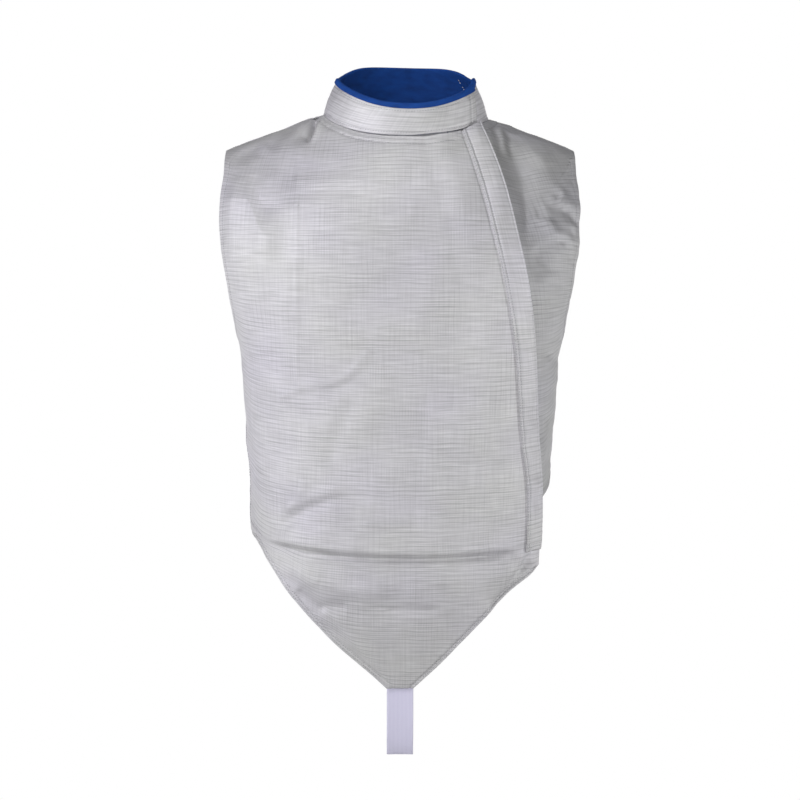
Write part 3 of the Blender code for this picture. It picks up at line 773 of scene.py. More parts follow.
def frontColumns(left, right):
    # closer together at both edges, and an odd number of them, so that the hidden side can have half
    squeeze = np.minimum(1, 0.42 * (right - left) / flapLift["noneAt"])[:, None]
    leftEnd = np.array([0, 0.9, 1.8, 2.8, 3.9, 5.0, 6.0, 7.0, 8.1, 9.4, 11.0, 13.0])
    rightEnd = np.concatenate([
        np.linspace(78, 32, 24),
        [31, 30.2, 29.5, 28.9, 28.4, 27.9, 27.3, 26.4, 24, 20, 16, 12, 8.5, 6, 4, 2.6, 1.3, 0],
    ])
    start = left[:, None] + leftEnd * squeeze
    end = right[:, None] - rightEnd * squeeze
    between = np.linspace(0, 1, 132)[1:-1]
    middle = start[:, -1:] + (end[:, :1] - start[:, -1:]) * between
    columns = np.concatenate([start, middle, end], 1)
    return columns if columns.shape[1] % 2 else np.delete(columns, 60, 1)


def frontPanel():
    levels = levelsDown(form["pointLevel"], front["spacing"])
    base, toFlap = frontGrid(levels, frontColumns)
    normals = evenNormals(base, levels)
    u, v = clothLines(base)
    x, z = base[..., 0], base[..., 2]
    neck, neckAt = fromEdge(base, thinned(base[0], 3))
    left, leftAt = fromEdge(base, thinned(base[:, 0], 3))
    right, rightAt = fromEdge(base, thinned(base[:, -1], 3))
    height = liftAt(toFlap, levels[:, None])
    # the armhole's edge stays smooth
    armhole = ease(form["underarmLevel"] - 30, form["underarmLevel"], levels)[:, None]
    bound = 1 - 0.75 * ease(20, 2, left) * armhole
    height = height + (foldDepth(x, z, frontFolds) + armCrestAt(x, z)) * bound
    beside = ease(band["lowLevel"] - 2, band["lowLevel"] + 5, levels)[:, None]
    height = height + beside * sewn(toFlap, levels[:, None], band["wide"] + 0.9, 0.9, 0.12, 26)
    # taut over the chest, slacker towards the sides and the point
    slack = 0.25 + 0.35 * ease(90, 190, np.abs(x)) + 0.3 * ease(-300, -460, z)
    height = height + slack * (0.5 * waves(u, v, 11, (38, 90)) + 0.18 * waves(u * 0.6, v, 12, (14, 30)))
    arm = ease(form["underarmLevel"] - 12, form["underarmLevel"] + 12, levels)[:, None]
    slit = ease(front["slitTop"] + 4, front["slitTop"] - 4, levels)[:, None]
    hem = ease(form["cornerLevel"] + 3, form["cornerLevel"] - 3, levels)[:, None]
    rightHem = ease(form["flapCornerLevel"] + 3, form["flapCornerLevel"] - 3, levels)[:, None]
    height = height + turnedIn(neck, front["neckBand"], 0.7)
    height = height + sewn(neck, neckAt, front["neckBand"] - 0.4, 1.3, 0.3, 21)
    height = height + sewn(neck, neckAt, 3.4, 0.7, 0.15, 25)
    height = height + arm * turnedIn(left, front["armFacing"], 0.3)
    height = height + arm * sewn(left, leftAt, front["armFacing"] - 1, 0.25, 0.16, 22)
    for rows, wide in ((slit * (1 - hem), front["slitStrip"]), (hem * 0.8, front["leftHem"])):
        height = height + rows * (turnedIn(left, wide, 0.9) + sewn(left, leftAt, wide - 0.6, 0.8, 0.25, 23))
    height = height + rightHem * turnedIn(right, front["rightHem"], 0.1)
    height = height + rightHem * sewn(right, rightAt, 3.6, 1.2, 0.3, 24)
    outer = base + normals * height[..., None]
    made = addCloth("frontPanel", outer, u, v, front["wall"], [silverLame, facing])
    lines = gridNormals(outer)
    rowsAll = np.arange(len(levels))

    def down(field, at, rows, fromRight=False, zigzag=0.0):
        return stitchRun(outer, lines, rows, traceDown(field, at, fromRight)[rows], zigzag)

    across = traceAcross(neck, front["neckBand"])
    columns = np.arange(8, outer.shape[1] - 22)
    runs = [stitchRun(outer, lines, across[columns], columns)]
    armRows = rowsAll[(levels > form["underarmLevel"]) & (levels < form["tipLevel"] - 0.6)]
    runs.append(down(left, front["armFacing"] - 1, armRows))
    runs.append(down(left, 3.0, rowsAll[levels > form["tipLevel"] + 4]))
    slitRows = rowsAll[(levels < front["slitTop"]) & (levels > form["cornerLevel"])]
    runs.append(down(left, front["slitStrip"] - 1.4, slitRows))
    hemRows = rowsAll[(levels < form["cornerLevel"]) & (levels > form["pointLevel"] + 14)]
    runs.append(down(left, 2.6, hemRows, zigzag=0.5))
    runs.append(down(left, 5.4, hemRows))
    rightRows = rowsAll[(levels < form["flapCornerLevel"]) & (levels > form["pointLevel"] + 14)]
    for at in (2.2, 5.0):
        runs.append(down(right, at, rightRows, True, 0.6))
    seamRows = rowsAll[(levels < form["underarmLevel"]) & (levels > front["slitTop"])]
    runs.append(down(left, 2.6, seamRows))
    bar = rowsAll[(levels < front["tackBar"][0]) & (levels > front["tackBar"][1])]
    for at in (10.4, 11.2, 12.0, 12.8):
        runs.append(down(left, at, bar))
    stitches = addThread("frontThread", runs, greyThread)
    print("front", outer.shape, "stitched", len(runs), "lines")
    return made, stitches


frontObject, frontStitches = frontPanel()


# Band along the flap: a folded strip, sewn on by its left edge and turned under at the free edge

# the band is slightly too long for its edge: distance along from the top, half the width, height
bandPuckers = (
    (18, 10, 0.5), (47, 9, -0.4), (92, 12, 0.4), (148, 11, -0.3), (212, 10, 0.4), (262, 8, -0.5),
    (301, 8, 0.6), (322, 6, -0.5), (341, 7, 0.9), (357, 6, -0.7), (373, 6, 0.9), (388, 6, -0.7),
    (405, 7, 0.9), (424, 6, -0.6), (441, 7, 0.8), (458, 6, -0.7), (474, 6, 0.6),
)


def bandPanel():
    levels = levelsDown(band["lowLevel"], band["spacing"])
    ends = np.array([
        27.5, 26.9, 26.0, 25, 24.1, 23.6, 23.2, 22.8, 22.2, 21, 19, 16.5, 14, 11.5, 9, 7, 5.4, 4.2, 3.2, 2.6,
        2.1, 1.6, 1.1, 0.5, 0.0,
    ])

    def columns(_, right):
        return right[:, None] - ends

    base, toFlap = frontGrid(levels, columns)
    normals = evenNormals(base, levels)
    u, v = clothLines(base)
    along = runOf(base[:, -1])[:, None]
    fromLeft = band["wide"] - toFlap
    height = liftAt(toFlap, levels[:, None]) + band["out"]
    # both edges are rounded, and the free one is thicker
    height = height - 1.3 * (1 - ease(0, 1.3, fromLeft)) - 0.9 * (1 - ease(0, 0.9, toFlap))
    height = height + 0.5 * np.exp(-(((toFlap - 1.1) / 1.1) ** 2))
    height = height + foldDepth(base[..., 0], base[..., 2], frontFolds) * 0.5
    middle = np.exp(-(((fromLeft - 15) / 8.5) ** 2))
    # it stands off near the collar
    height = height + (1.0 * middle + 3.4 * fromLeft / band["wide"]) * ease(190, 70, along)
    for at, wide, high in bandPuckers:
        height = height + 1.5 * high * middle * np.exp(-(((along - at + fromLeft * 0.25) / wide) ** 2))
    height = height + sewn(toFlap, along, band["innerLine"], 0.95, 0.3, 31)
    height = height + sewn(toFlap, along, band["freeLine"], 0.5, 0.2, 32)
    low = ease(14, 2, along[-1] - along)
    height = height - 0.8 * ease(3.5, 0, along[-1] - along) - 0.25 * low
    outer = base + normals * height[..., None]
    made = addCloth("flapBand", outer, u, v, band["wall"], [silverLame], 0.35)
    lines = gridNormals(outer)
    rows = np.arange(2, len(levels) - 2)
    inner, free, edge = (
        stitchRun(outer, lines, rows, np.interp(-at, -ends, np.arange(len(ends))))
        for at in (band["innerLine"], band["freeLine"], band["edgeLine"])
    )
    runs = [inner, edge]
    for above in (5.0, 8.4):
        row = len(levels) - 1 - above / band["spacing"]
        runs.append(stitchRun(outer, lines, row, np.arange(1, len(ends) - 1)))
    # the top end is closed by a slanting line
    columns = np.arange(6, len(ends) - 3)
    runs.append(stitchRun(outer, lines, (columns - columns[0]) * 0.55 + 2, columns))
    stitches = [
        addThread("flapBandThread", runs, greyThread),
        addThread("flapEdgeThread", [free], paleThread),
    ]
    print("flap band", outer.shape)
    return made, stitches


bandObject, bandStitches = bandPanel()


# Side front, under the flap and out to the right side seam

sideFront = {
    "flat": (0.21, 0.47), "area": 0.061, "wall": 1.2, "spacing": 2.0, "underlap": 45.0,
    "lowLevel": -392.0, "hemFromSeam": (0, 36, 130), "hemLevel": (-408, -423, -458), "hem": 8.0,
}
sideFrontFolds = {
    "collarPullA": (103, -8, 113, -40, 2, 4.5, -2),
    "collarPullRidge": (110, -10, 121, -42, 2, 4.0, 1.6),
    "collarPullB": (121, -14, 126, -44, 1, 4.0, -1.6),
    "shoulderRidge": (128, -20, 166, -52, 2, 9, 1.4),
    "underFlapValley": (120, -10, 156, -190, 5, 17, -8.0),
    "underFlapPinch": (137, -72, 144, -150, 2, 5, -2.2),
    "chestRidge": (141, -64, 186, -92, 3, 12, 1.4),
    "armCreaseA": (180, -102, 206, -132, 2, 4.5, -3.0),
    "armRidgeA": (174, -92, 206, -110, 1, 6.5, 3.2),
    "armCreaseB": (150, -112, 184, -104, 3, 5.5, -1.0),
    "armRidgeB": (138, -120, 200, -134, -3, 20, 4.5),
    "armRidgeC": (158, -112, 170, -152, 2, 6, 1.6),
    "armCreaseC": (150, -150, 206, -128, 2, 6, -1.4),
    "sideFallA": (158, -170, 163, -240, 1, 7, 0.9),
    "sideDipA": (140, -186, 174, -204, 0, 8, -1.4),
    "waistDip": (158, -262, 182, -278, 2, 6, -0.9),
    "waistRidge": (160, -290, 182, -300, 1, 6, 0.9),
    "lowFall": (166, -330, 170, -400, 0, 5, -1.6),
}


def sideFrontPanel():
    levels = levelsDown(sideFront["lowLevel"], sideFront["spacing"])
    rows = rowsAt(levels, -1, 1)
    edge, end = flapDistances(rows), rows[1][:, -1] - evenSeam
    under = np.linspace(-sideFront["underlap"], 0, 10)[:-1]
    seamEnd = np.array([12, 9.6, 8, 6.8, 5.6, 4.4, 3.2, 2.1, 1.1, 0])
    out = np.linspace(0, 1, 53)[:-1]
    places = np.concatenate([
        edge[:, None] + under,
        edge[:, None] + (end - edge - seamEnd[0])[:, None] * out,
        end[:, None] - seamEnd,
    ], 1)
    shares = sharesAt(places, rows)
    top = form["underarmLevel"]
    hem = follow(sideFront["hemFromSeam"], sideFront["hemLevel"], end[:, None] - places)
    part = (top - levels) / (top - levels[-1])
    at = np.where(levels[:, None] < top, top + (hem - top) * part[:, None], levels[:, None])
    base = skinAt(at, shares)
    normals = evenNormals(base, levels)
    u, v = clothLines(base)
    neck, neckAt = fromEdge(base, thinned(base[0], 3))
    right, rightAt = fromEdge(base, thinned(base[:, -1], 3))
    low, lowAt = fromEdge(base, thinned(base[-1], 3))
    x, z = base[..., 0], base[..., 2]
    shown = ease(-30, 0, places - edge[:, None])
    bound = 1 - 0.7 * ease(15, 3, right) * ease(top - 30, top, levels)[:, None]
    height = foldDepth(x, z, sideFrontFolds) * bound
    # crumpled beside the armhole
    crumpled = ease(140, 165, x) * ease(-70, -95, z) * ease(-185, -150, z) * bound
    height = height + 0.8 * crumpled * waves(u, v, 47, (13, 30))
    height = height + 0.45 * waves(u, v, 41, (30, 70)) + 0.2 * waves(u, v, 42, (13, 26))
    arm = ease(top - 12, top + 12, levels)[:, None]
    height = height + turnedIn(neck, front["neckBand"], 0.45)
    height = height + sewn(neck, neckAt, front["neckBand"], 0.5, 0.14, 43)
    height = height + arm * (turnedIn(right, 7, 0.3) + sewn(right, rightAt, 6, 0.25, 0.2, 44))
    height = height + (1 - arm) * sewn(right, rightAt, 2.8, 0.35, 0.2, 45)
    height = height + turnedIn(low, sideFront["hem"], 0.45) + sewn(low, lowAt, 6.6, 0.35, 0.2, 46)
    height = height * shown
    outer = base + normals * height[..., None]
    # the side front takes the darker lame, which is painted shade
    made = addCloth("sideFrontPanel", outer, u, v, sideFront["wall"], [shadedLame, facing])
    lines = gridNormals(outer)
    rowsAll = np.arange(len(levels))

    def down(at, chosen):
        return stitchRun(outer, lines, chosen, traceDown(right, at, True)[chosen])

    across = traceAcross(neck, front["neckBand"])
    columns = np.arange(14, outer.shape[1] - 4)
    runs = [stitchRun(outer, lines, across[columns], columns)]
    runs.append(down(6, rowsAll[(levels > top) & (levels < form["tipLevel"] - 0.6)]))
    runs.append(down(3, rowsAll[levels > form["tipLevel"] + 4]))
    runs.append(down(2.8, rowsAll[levels < top - 2]))
    for at in (3.2, 6.6):
        runs.append(stitchRun(outer, lines, len(levels) - 1 - at / sideFront["spacing"], columns))
    stitches = addThread("sideFrontThread", runs, greyThread)
    print("side front", outer.shape)
    return made, stitches


sideFrontObject, sideFrontStitches = sideFrontPanel()


# Back, one piece

back = {
    "flat": (0.56, 0.49), "wall": 1.2, "spacing": 2.9, "lowLevel": -392.0, "hemSide": -406.0,
    "hemCentre": -424.0, "columns": 161,
}
# the same kinds of fold as on the front: x0, z0, x1, z1, sag, half the width, height outwards
backFolds = {
    "collarPullLeft": (-88, 6, -112, -34, 2, 6, -1.9),
    "collarPullRight": (86, 4, 114, -30, -2, 6, -1.9),
    "bladeLeft": (-150, -60, -60, -96, -6, 13, 2.1),
    "bladeRight": (62, -98, 152, -66, 5, 13, 2.1),
    "armDragLeft": (-196, -92, -128, -150, 3, 7, -2.5),
    "armDragRight": (200, -98, 134, -152, -3, 7, -2.5),
    "armLipLeft": (-190, -116, -124, -172, 2, 8, 2.1),
    "armLipRight": (192, -118, 126, -170, -2, 8, 2.1),
    "spine": (2, -70, -3, -300, 3, 10, -1.9),
    "waistLeft": (-152, -262, -18, -292, -6, 8, 2.5),
    "waistLeftShade": (-150, -276, -24, -304, -5, 7, -2.3),
    "waistRight": (14, -284, 156, -256, -6, 8, 2.3),
    "waistRightShade": (20, -298, 150, -272, -5, 7, -2.1),
    "lowFallA": (-96, -320, -84, -420, 3, 9, 1.7),
    "lowFallB": (-38, -330, -30, -420, -2, 8, -1.7),
    "lowFallC": (46, -324, 40, -420, 2, 9, 1.7),
    "lowFallD": (108, -316, 96, -418, -3, 8, -1.7),
    "press": (0, -330, 0, -418, 0, 2.6, 0.8),
}


def backPanel():
    levels = levelsDown(back["lowLevel"], back["spacing"])
    rows = rowsAt(levels, 1.0001, 2.9999)
    end = rows[1][:, -1] - evenSeam
    sideEnd = np.array([0, 1.2, 2.4, 3.6, 4.8, 6, 7.2, 9])
    middle = np.linspace(0, 1, back["columns"] - 2 * len(sideEnd) + 2)[1:-1]
    places = np.concatenate([
        evenSeam + np.broadcast_to(sideEnd, (len(levels), len(sideEnd))),
        evenSeam + sideEnd[-1] + (end - evenSeam - 2 * sideEnd[-1])[:, None] * middle,
        end[:, None] - sideEnd[::-1],
    ], 1)
    shares = sharesAt(places, rows)
    top = form["underarmLevel"]
    inwards = np.cos((shares - 2) * math.pi / 2) ** 2
    hem = back["hemSide"] + (back["hemCentre"] - back["hemSide"]) * inwards
    part = (top - levels) / (top - levels[-1])
    at = np.where(levels[:, None] < top, top + (hem - top) * part[:, None], levels[:, None])
    base = skinAt(at, shares)
    normals = evenNormals(base, levels)
    u, v = clothLines(base)
    neck, neckAt = fromEdge(base, thinned(base[0], 3))
    first, firstAt = fromEdge(base, thinned(base[:, 0], 3))
    last, lastAt = fromEdge(base, thinned(base[:, -1], 3))
    low, lowAt = fromEdge(base, thinned(base[-1], 3))
    height = foldDepth(base[..., 0], base[..., 2], backFolds) * ease(0, 30, base[..., 1])
    slack = 0.35 + 0.35 * ease(-240, -380, base[..., 2])
    height = height + slack * (waves(u, v, 51, (36, 90)) + 0.35 * waves(u, v, 52, (14, 28)))
    arm = ease(top - 12, top + 12, levels)[:, None]
    height = height + turnedIn(neck, 10, 0.45) + sewn(neck, neckAt, 10, 0.5, 0.14, 53)
    for distance, place, seed in ((first, firstAt, 54), (last, lastAt, 56)):
        height = height + arm * (turnedIn(distance, 7, 0.3) + sewn(distance, place, 6, 0.25, 0.2, seed))
        height = height + (1 - arm) * sewn(distance, place, 2.8, 0.35, 0.2, seed + 1)
    height = height + turnedIn(low, 9, 0.45) + sewn(low, lowAt, 7.6, 0.35, 0.25, 58)
    outer = base + normals * height[..., None]
    made = addCloth("backPanel", outer, u, v, back["wall"], [silverLame, facing])
    lines = gridNormals(outer)
    rowsAll = np.arange(len(levels))
    runs = []
    # at the armhole, down the side seam and along the shoulder seam
    lineRows = (
        (6, rowsAll[(levels > top) & (levels < form["tipLevel"] - 0.6)]),
        (2.8, rowsAll[levels < top - 2]),
        (3, rowsAll[levels > form["tipLevel"] + 4]),
    )
    for field, fromRight in ((first, False), (last, True)):
        for at, chosen in lineRows:
            runs.append(stitchRun(outer, lines, chosen, traceDown(field, at, fromRight)[chosen]))
    columns = np.arange(4, outer.shape[1] - 4)
    for row in (traceAcross(neck, 10)[columns], len(levels) - 1 - 7.6 / back["spacing"]):
        runs.append(stitchRun(outer, lines, row, columns))
    stitches = addThread("backThread", runs, greyThread)
    print("back", outer.shape)
    return made, stitches


backObject, backStitches = backPanel()


# Stand collar: one strip that laps over itself at the viewer's right

collar = {
    "flat": (0.57, 0.048), "run": 560.0, "wall": 1.8, "steps": 300, "rows": 26,
    "rimCentre": (7.6, -4.0), "rimHalfWidth": 77.4, "rimHalfDepth": 62.0,
    "frontZ": 14.0, "sideZ": 38.5, "backZ": 57.5, "sideTilt": 1.6, "frontRise": 2.2, "backRise": 6.0,
    "rightCorner": 7.5, "leftCorner": 3.2,
    "endBase": 56.0, "endRim": 68.0, "turn": 386.0, "spiral": 2.75, "bulge": 1.2, "roll": 6.5,
    "lowest": 0.5, "lift": 3.3, "endLine": 11.0, "rimLine": 9.6, "lowLine": 3.0,
}
lining = {
    "flat": (0.57, 0.06), "area": 0.027, "wall": 1.0, "gap": 0.3,
    # short tacks inside: place along the strip, first and last depth under the rim
    "tacks": ((430.0, 8.5, 14.0), (432.0, 15.5, 20.0)),
}


def collarSides(angle):
    share = (angle / 90 + 2) % 4 - 2
    base = skinAt(form["neckLevel"], share)
    s, c = np.sin(np.radians(angle)), np.cos(np.radians(angle))
    frontZ = collar["frontZ"] + (collar["sideZ"] - collar["frontZ"]) * np.abs(s) ** collar["frontRise"]
    backZ = collar["backZ"] + (collar["sideZ"] - collar["backZ"]) * np.abs(s) ** collar["backRise"]
    corner = np.exp(-((c / 0.26) ** 2)) * np.where(s > 0, collar["rightCorner"], collar["leftCorner"])
    x = collar["rimCentre"][0] + collar["rimHalfWidth"] * s
    y = collar["rimCentre"][1] - collar["rimHalfDepth"] * c
    return base, np.stack([x, y, np.where(c >= 0, frontZ, backZ) + corner - collar["sideTilt"] * s], -1)


def collarFrame(t, share):
    end = collar["endBase"] + (collar["endRim"] - collar["endBase"]) * share
    angle = end - collar["turn"] * t
    base, rim = collarSides(angle)
    ahead, behind = sum(collarSides(angle + 1)) / 2, sum(collarSides(angle - 1)) / 2
    out = np.cross(ahead - behind, rim - base)
    return base, rim, out / np.linalg.norm(out, axis=-1, keepdims=True)


def collarTall(t):
    base, rim, _ = collarFrame(t, np.full(np.shape(t), 0.5))
    return np.linalg.norm(rim - base, axis=-1)


def collarPoints(t, out, up):
    # t runs along the strip, up is the height over the neckline, out is away from the neck
    tall = collarTall(t)
    share = up / tall
    base, rim, outward = collarFrame(t, share)
    # the lower edge is drawn in to the neck where the strip lies single
    single = ease(0.08, 0.13, t) * ease(0.92, 0.87, t) * ease(9, 0, up)
    off = collar["spiral"] * (1 - 2 * t) * (1 - 0.5 * single)
    off = off + out + collar["bulge"] * np.sin(math.pi * np.clip(share, 0, 1))
    return base + (rim - base) / tall[..., None] * up[..., None] + outward * off[..., None]


def collarLow(t):
    return collar["lowest"] + collar["lift"] * (0.25 * ease(0.3, 0.2, t) + 0.75 * ease(0.15, 0.09, t))


def collarUneven(t, up, seed):
    # soft unevenness of a stiff sewn strip, in mm outwards
    along = t * collar["run"]
    return 0.35 * waves(along, up * 2.2, seed, (35, 80)) + 0.1 * waves(along, up, seed + 1, (9, 20))


def standCollar():
    steps = np.linspace(0, 1, collar["steps"] + 1)
    shares = np.linspace(0, 1, collar["rows"])
    t, share = np.meshgrid(steps, shares, indexing="ij")
    tall = collarTall(t)
    low, high = collarLow(t), tall - lining["wall"] - lining["gap"]
    up = low + (high - low) * share
    fromRim = tall - up
    uneven = collarUneven(t, up, 61)
    along = t * collar["run"]
    seams = sewn(fromRim, along, collar["rimLine"], 0.4, 0.2, 63) + sewn(up - low, along, 3.4, 0.6, 0.2, 64)
    # the overlapping end is pressed thin and sewn down
    seams = seams + sewn(along, up, collar["endLine"], 1.1, 0.2, 65) - 1.2 * ease(12, 1, along)
    ripples = 0.16 * ripple(along, 66) * np.exp(-(((fromRim - 7.5) / 3) ** 2))
    outer = collarPoints(t, uneven + seams + ripples, up)
    inner = collarPoints(t, uneven - collar["wall"], up)
    sections = np.concatenate([outer, inner[:, ::-1]], 1)
    u = np.concatenate([along, along[:, ::-1]], 1)
    v = np.concatenate([up, up[:, ::-1]], 1)
    made = addSweep("standCollar", sections, u, v, [silverLame])
    normals = gridNormals(outer)
    if normals[40, 10, :2] @ outer[40, 10, :2] < 0:
        normals = -normals
    rows = np.arange(3, collar["steps"] - 2)
    places = np.arange(collar["rows"])
    underRim = [np.interp(collar["rimLine"], line[::-1], places[::-1]) for line in fromRim]
    overSeam = [np.interp(collar["lowLine"], line, places) for line in up - low]
    runs = [stitchRun(outer, normals, rows, columns[3:-3]) for columns in (underRim, overSeam)]
    endRow = collar["endLine"] / collar["run"] * collar["steps"]
    runs.append(stitchRun(outer, normals, endRow, np.arange(2, collar["rows"] - 5)))
    stitches = addThread("collarThread", runs, greyThread)
    print("collar", sections.shape)
    return made, stitches


collarObject, collarStitches = standCollar()


def liningSection(t):
    # heights and distances out, once round the section, from the lip on the outside over the rim
    tall, low = collarTall(t), collarLow(t)
    inside = -(collar["wall"] + lining["gap"])
    face = inside - lining["wall"]
    lip = lining["gap"] + lining["wall"]
    middle, half = (face + lip) / 2, (lip - face) / 2
    rows = [(lip - 0.45, -collar["roll"] - 0.35), (lip, -collar["roll"] + 0.4)]
    rows += [(lip + 0.12, -4.2), (lip, -2.6)]
    for turn in np.linspace(0, math.pi, 11):
        rows.append((middle + half * math.cos(turn), -2.1 + 1.8 * math.sin(turn)))
    rows += [(face, -2.9), (face, -4.6), (face, -7.0)]
    points = [(out, tall + height) for out, height in rows]
    for share in np.linspace(0, 1, 15)[1:]:
        points.append((face, (tall - 7.0) * (1 - share) + low * share))
    points += [(inside, low + (tall - 7.0 - low) * share) for share in (0, 0.33, 0.66)]
    points += [(inside, tall - 7.0), (inside, tall - 1.0), (lining["gap"], tall - 1.0)]
    points += [(lining["gap"], tall - collar["roll"] - 0.2)]
    return points


def liningStrip():
    steps = np.linspace(0, 1, collar["steps"] + 1)
    section = liningSection(steps)
    out = np.stack([np.broadcast_to(np.asarray(o, float), steps.shape) for o, _ in section], 1)
    up = np.stack([np.broadcast_to(h, steps.shape) for _, h in section], 1)
    t = np.broadcast_to(steps[:, None], up.shape)
    fromRim = collarTall(t) - up
    along = t * collar["run"]
    roll = np.exp(-(((fromRim - 4.5) / 4) ** 2))
    uneven = collarUneven(t, up, 61) + 0.14 * ripple(along, 71) * roll
    points = collarPoints(t, out + uneven, up)
    v = np.broadcast_to(runOf(points[collar["steps"] // 2]), up.shape)
    made = addSweep("collarLining", points, along, v, [blueCloth])
    face = -(collar["wall"] + lining["gap"] + lining["wall"] + 0.15)
    runs = []
    for place, high, low in lining["tacks"]:
        for side in (-0.5, 0.0, 0.5):
            t = np.full(12, (place + side) / collar["run"])
            up = collarTall(t) - np.linspace(high, low, 12)
            line = collarPoints(t, face + collarUneven(t, up, 61), up)
            inwards = collarPoints(t, face - 1 + collarUneven(t, up, 61), up) - line
            runs.append((line, inwards, 0.0))
    tacks = addThread("liningTacks", runs, paleThread)
    print("collar lining", points.shape)
    return made, tacks


liningObject, tackObject = liningStrip()


# Crotch strap: one length of elastic from behind the point to the inside of the back

strap = {
    "flat": (0.03, 0.47), "wide": 30.0, "thick": 1.6, "inset": 18.0, "gap": 1.7, "panelWall": 2.0,
    "loopY": (-74, -70, -56, -38, -5, 40, 78), "loopZ": (-664, -700, -724, -716, -658, -562, -478),
    "backLevels": (-432.0, -418.0, -404.0), "steps": 220, "across": 31,
}


def centreLine(level, share):
    # a point on the centre line, moved in to where the strap lies
    point = skinAt(level, share)
    up = skinAt(level + 0.4, share) - skinAt(max(level - 0.4, form["pointLevel"]), share)
    sign = 1 if share == 0 else -1
    outward = np.array([0, -up[2], up[1]]) * sign
    clear = strap["panelWall"] + strap["gap"] + strap["thick"] / 2
    return (point - outward / np.linalg.norm(outward) * clear)[1:]


def crotchStrap():
    point = form["pointLevel"]
    rows = [centreLine(point + off, 0.0) for off in (strap["inset"], strap["inset"] / 2, 1)]
    rows += [np.array(pair, float) for pair in zip(strap["loopY"], strap["loopZ"])]
    rows = np.array(rows + [centreLine(level, 2.0) for level in strap["backLevels"]])
    lengths = runOf(rows)
    at = np.linspace(0, lengths[-1], strap["steps"] + 1)
    path = np.stack([follow(lengths, rows[:, k], at) for k in (0, 1)], 1)
    run = np.gradient(path, axis=0)
    run /= np.linalg.norm(run, axis=1, keepdims=True)
    side = np.stack([run[:, 1], -run[:, 0]], 1)
    x = np.linspace(-strap["wide"] / 2, strap["wide"] / 2, strap["across"])
    edge = np.clip((strap["wide"] / 2 - np.abs(x)) / 1.2, 0, 1) ** 0.5
    half = strap["thick"] / 2 * (0.45 + 0.55 * edge)
    curl = 0.5 * np.sin(at / 60 + 0.8)[:, None] * (x / 15) ** 2
    sections = []
    for sign, order in ((-1, slice(None)), (1, slice(None, None, -1))):
        off = (sign * half + curl)[:, order]
        part = np.empty((len(at), len(x), 3))
        part[..., 0] = x[order] + 0.12 * np.sin(at / 23)[:, None]
        part[..., 1] = path[:, 0:1] + side[:, 0:1] * off
        part[..., 2] = path[:, 1:2] + side[:, 1:2] * off
        sections.append(part)
    sections = np.concatenate(sections, 1)
    u = np.broadcast_to(np.concatenate([x, x[::-1]]), sections.shape[:2])
    v = np.broadcast_to(at[:, None], sections.shape[:2])
    made = addSweep("crotchStrap", sections, u, v, [whiteElastic])
    print("strap", sections.shape, "length", round(float(lengths[-1]), 1), "mm")
    return made


strapObject = crotchStrap()


# What each piece stands for

# visible piece, solid it stands for, slot, its sizes, how it is held, what it rests on, its stitches
cloths = [
    (frontObject, "front", "lame_front", front, "hung", ["standCollar", "backPanel"], [frontStitches]),
    (bandObject, "placket", "lame_band", band, "folded", ["frontPanel"], bandStitches),
    (sideFrontObject, "side_front", "lame_side_front", sideFront, "hung", ["standCollar", "backPanel"],
     [sideFrontStitches]),
    (backObject, "back", "lame_back", back, "hung", ["standCollar"], [backStitches]),
    (collarObject, "collar", "lame_collar", collar, "folded", ["frontPanel", "backPanel"], [collarStitches]),
    (liningObject, "collar_lining", "blue_lining", lining, "folded", ["standCollar"], [tackObject]),
    (strapObject, "crotch_strap", "white_elastic", strap, "hung", ["frontPanel", "backPanel"], []),
]
for cloth, node, slot, piece, held, restsOn, others in cloths:
    for obj in (cloth, *others):
        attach(obj, "root")
    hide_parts(node)


# Floor, light and camera

# the vest is shown at its worn height over the floor, which ends in front of the room's back
floor = {"half": (1.6, 1.3), "z": -1.45, "glow": 0.62}


def addFloor():
    # Floor: matt white emulsion paint, which spreads the light and shows no gloss
    made, tree, shader = newMaterial("matWhitePaint", {
        "Base Color": linear("#EDEDEB"), "Roughness": 0.7, "Emission Color": (1, 1, 1, 1),
    })
    # the paint is seen nearly as pale as the room, and throws no more light at the vest for it
    seen = addNode(tree, "ShaderNodeLightPath").outputs["Is Camera Ray"]
    glow = addNode(tree, "ShaderNodeMath", {"operation": "MULTIPLY", 1: floor["glow"]}, {0: seen})
    tree.links.new(glow.outputs[0], shader.inputs["Emission Strength"])
    w, d, z = *floor["half"], floor["z"]
    mesh = bpy.data.meshes.new("floor")
    mesh.from_pydata([(-w, -d, z), (w, -d, z), (w, d, z), (-w, d, z)], [], [(0, 1, 2, 3)])
    mesh.materials.append(made)
    sheet = bpy.data.objects.new("floor", mesh)
    bpy.context.scene.collection.objects.link(sheet)


lamps = {
    "leftHigh": {"at": (-1.6, -1.6, 0.9), "wide": 1.2, "tall": 1.2, "watts": 20.2, "hue": "#FBFAFF"},
    "leftSide": {"at": (-2.3, -0.8, -0.2), "wide": 1.4, "tall": 1.8, "watts": 9.0, "hue": "#F3F0FF"},
    "overFront": {"at": (0.0, -1.2, 1.7), "wide": 1.8, "tall": 1.2, "watts": 14.0},
    "rightHigh": {"at": (1.6, -1.6, 0.9), "wide": 1.2, "tall": 1.2, "watts": 1.8},
    "right": {"at": (1.5, -1.9, -0.2), "wide": 1.2, "tall": 1.6, "watts": 1.6},
    "rightSide": {"at": (2.3, -0.8, -0.2), "wide": 1.4, "tall": 1.8, "watts": 6.8},
    "top": {"at": (0.0, 0.1, 2.0), "wide": 1.8, "tall": 1.4, "watts": 5.6},
    "rear": {"at": (0.3, 2.4, 0.3), "wide": 1.8, "tall": 1.8, "watts": 7.0},
}
lampsAim = (0.0, 0.0, -0.28)


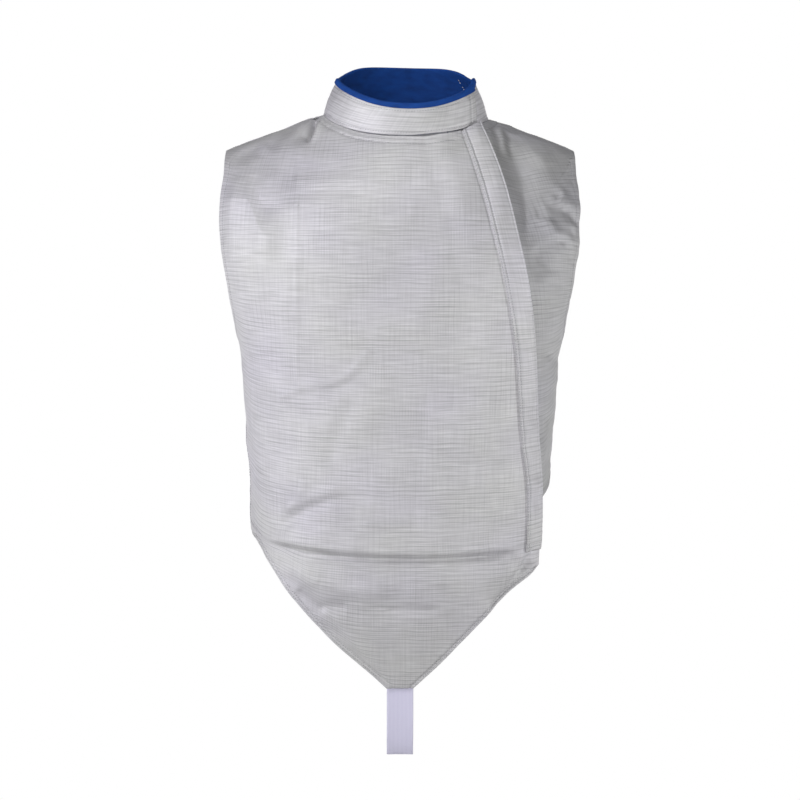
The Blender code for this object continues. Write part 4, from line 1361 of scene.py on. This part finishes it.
def addLamps():
    for name, lamp in lamps.items():
        data = bpy.data.lights.new(name, "AREA")
        data.shape = "RECTANGLE"
        data.size, data.size_y = lamp["wide"], lamp["tall"]
        data.energy = lamp["watts"]
        data.color = linear(lamp.get("hue", "#FFFFFF"))[:3]
        made = bpy.data.objects.new(name, data)
        made.location = lamp["at"]
        aim = Vector(lampsAim) - Vector(lamp["at"])
        made.rotation_euler = aim.to_track_quat("-Z", "Y").to_euler()
        bpy.context.scene.collection.objects.link(made)


# how bright the room is below and above eye level, straight down, and where the camera sees it
room = {"below": 1.42, "above": 0.0, "straightDown": 0.35, "seen": 1.0}


def addWorld():
    # a white sweep that lights the cloth from the level of the floor up to eye level
    world = bpy.data.worlds.new("whiteRoom")
    bpy.context.scene.world = world
    world.use_nodes = True
    tree = world.node_tree
    tree.nodes.clear()
    place = addNode(tree, "ShaderNodeTexCoord")
    split = addNode(tree, "ShaderNodeSeparateXYZ", {}, {0: place.outputs["Generated"]})
    light = addNode(
        tree, "ShaderNodeMapRange",
        {"From Min": -0.3, "From Max": 0.3, "To Min": room["below"], "To Max": room["above"]},
        {"Value": split.outputs["Z"]},
    )
    # and darker towards the floor itself
    floorward = addNode(
        tree, "ShaderNodeMapRange",
        {"From Min": -0.95, "From Max": -0.3, "To Min": room["straightDown"], "To Max": 1.0},
        {"Value": split.outputs["Z"]},
    )
    light = addNode(
        tree, "ShaderNodeMath", {"operation": "MULTIPLY"},
        {0: light.outputs["Result"], 1: floorward.outputs["Result"]},
    )
    path = addNode(tree, "ShaderNodeLightPath")
    strength = addNode(
        tree, "ShaderNodeMapRange", {"To Max": room["seen"]},
        {"Value": path.outputs["Is Camera Ray"], "To Min": light.outputs[0]},
    )
    glow = addNode(
        tree, "ShaderNodeBackground", {"Color": (1, 1, 1, 1)}, {"Strength": strength.outputs["Result"]},
    )
    addNode(tree, "ShaderNodeOutputWorld", {}, {"Surface": glow.outputs[0]})


view = {"at": (0.0, -2.5858, -0.0522), "to": (0.0, 0.0, -0.3234), "lens": 101.74}


def addCamera():
    data = bpy.data.cameras.new("camera")
    data.sensor_width = 36.0
    data.lens = view["lens"]
    made = bpy.data.objects.new("camera", data)
    made.location = view["at"]
    made.rotation_euler = (Vector(view["to"]) - Vector(view["at"])).to_track_quat("-Z", "Y").to_euler()
    bpy.context.scene.collection.objects.link(made)
    bpy.context.scene.camera = made


addFloor()
addLamps()
addWorld()
addCamera()
bpy.context.scene.view_settings.view_transform = "Standard"
print("stage ready")

bpy.context.view_layer.update()
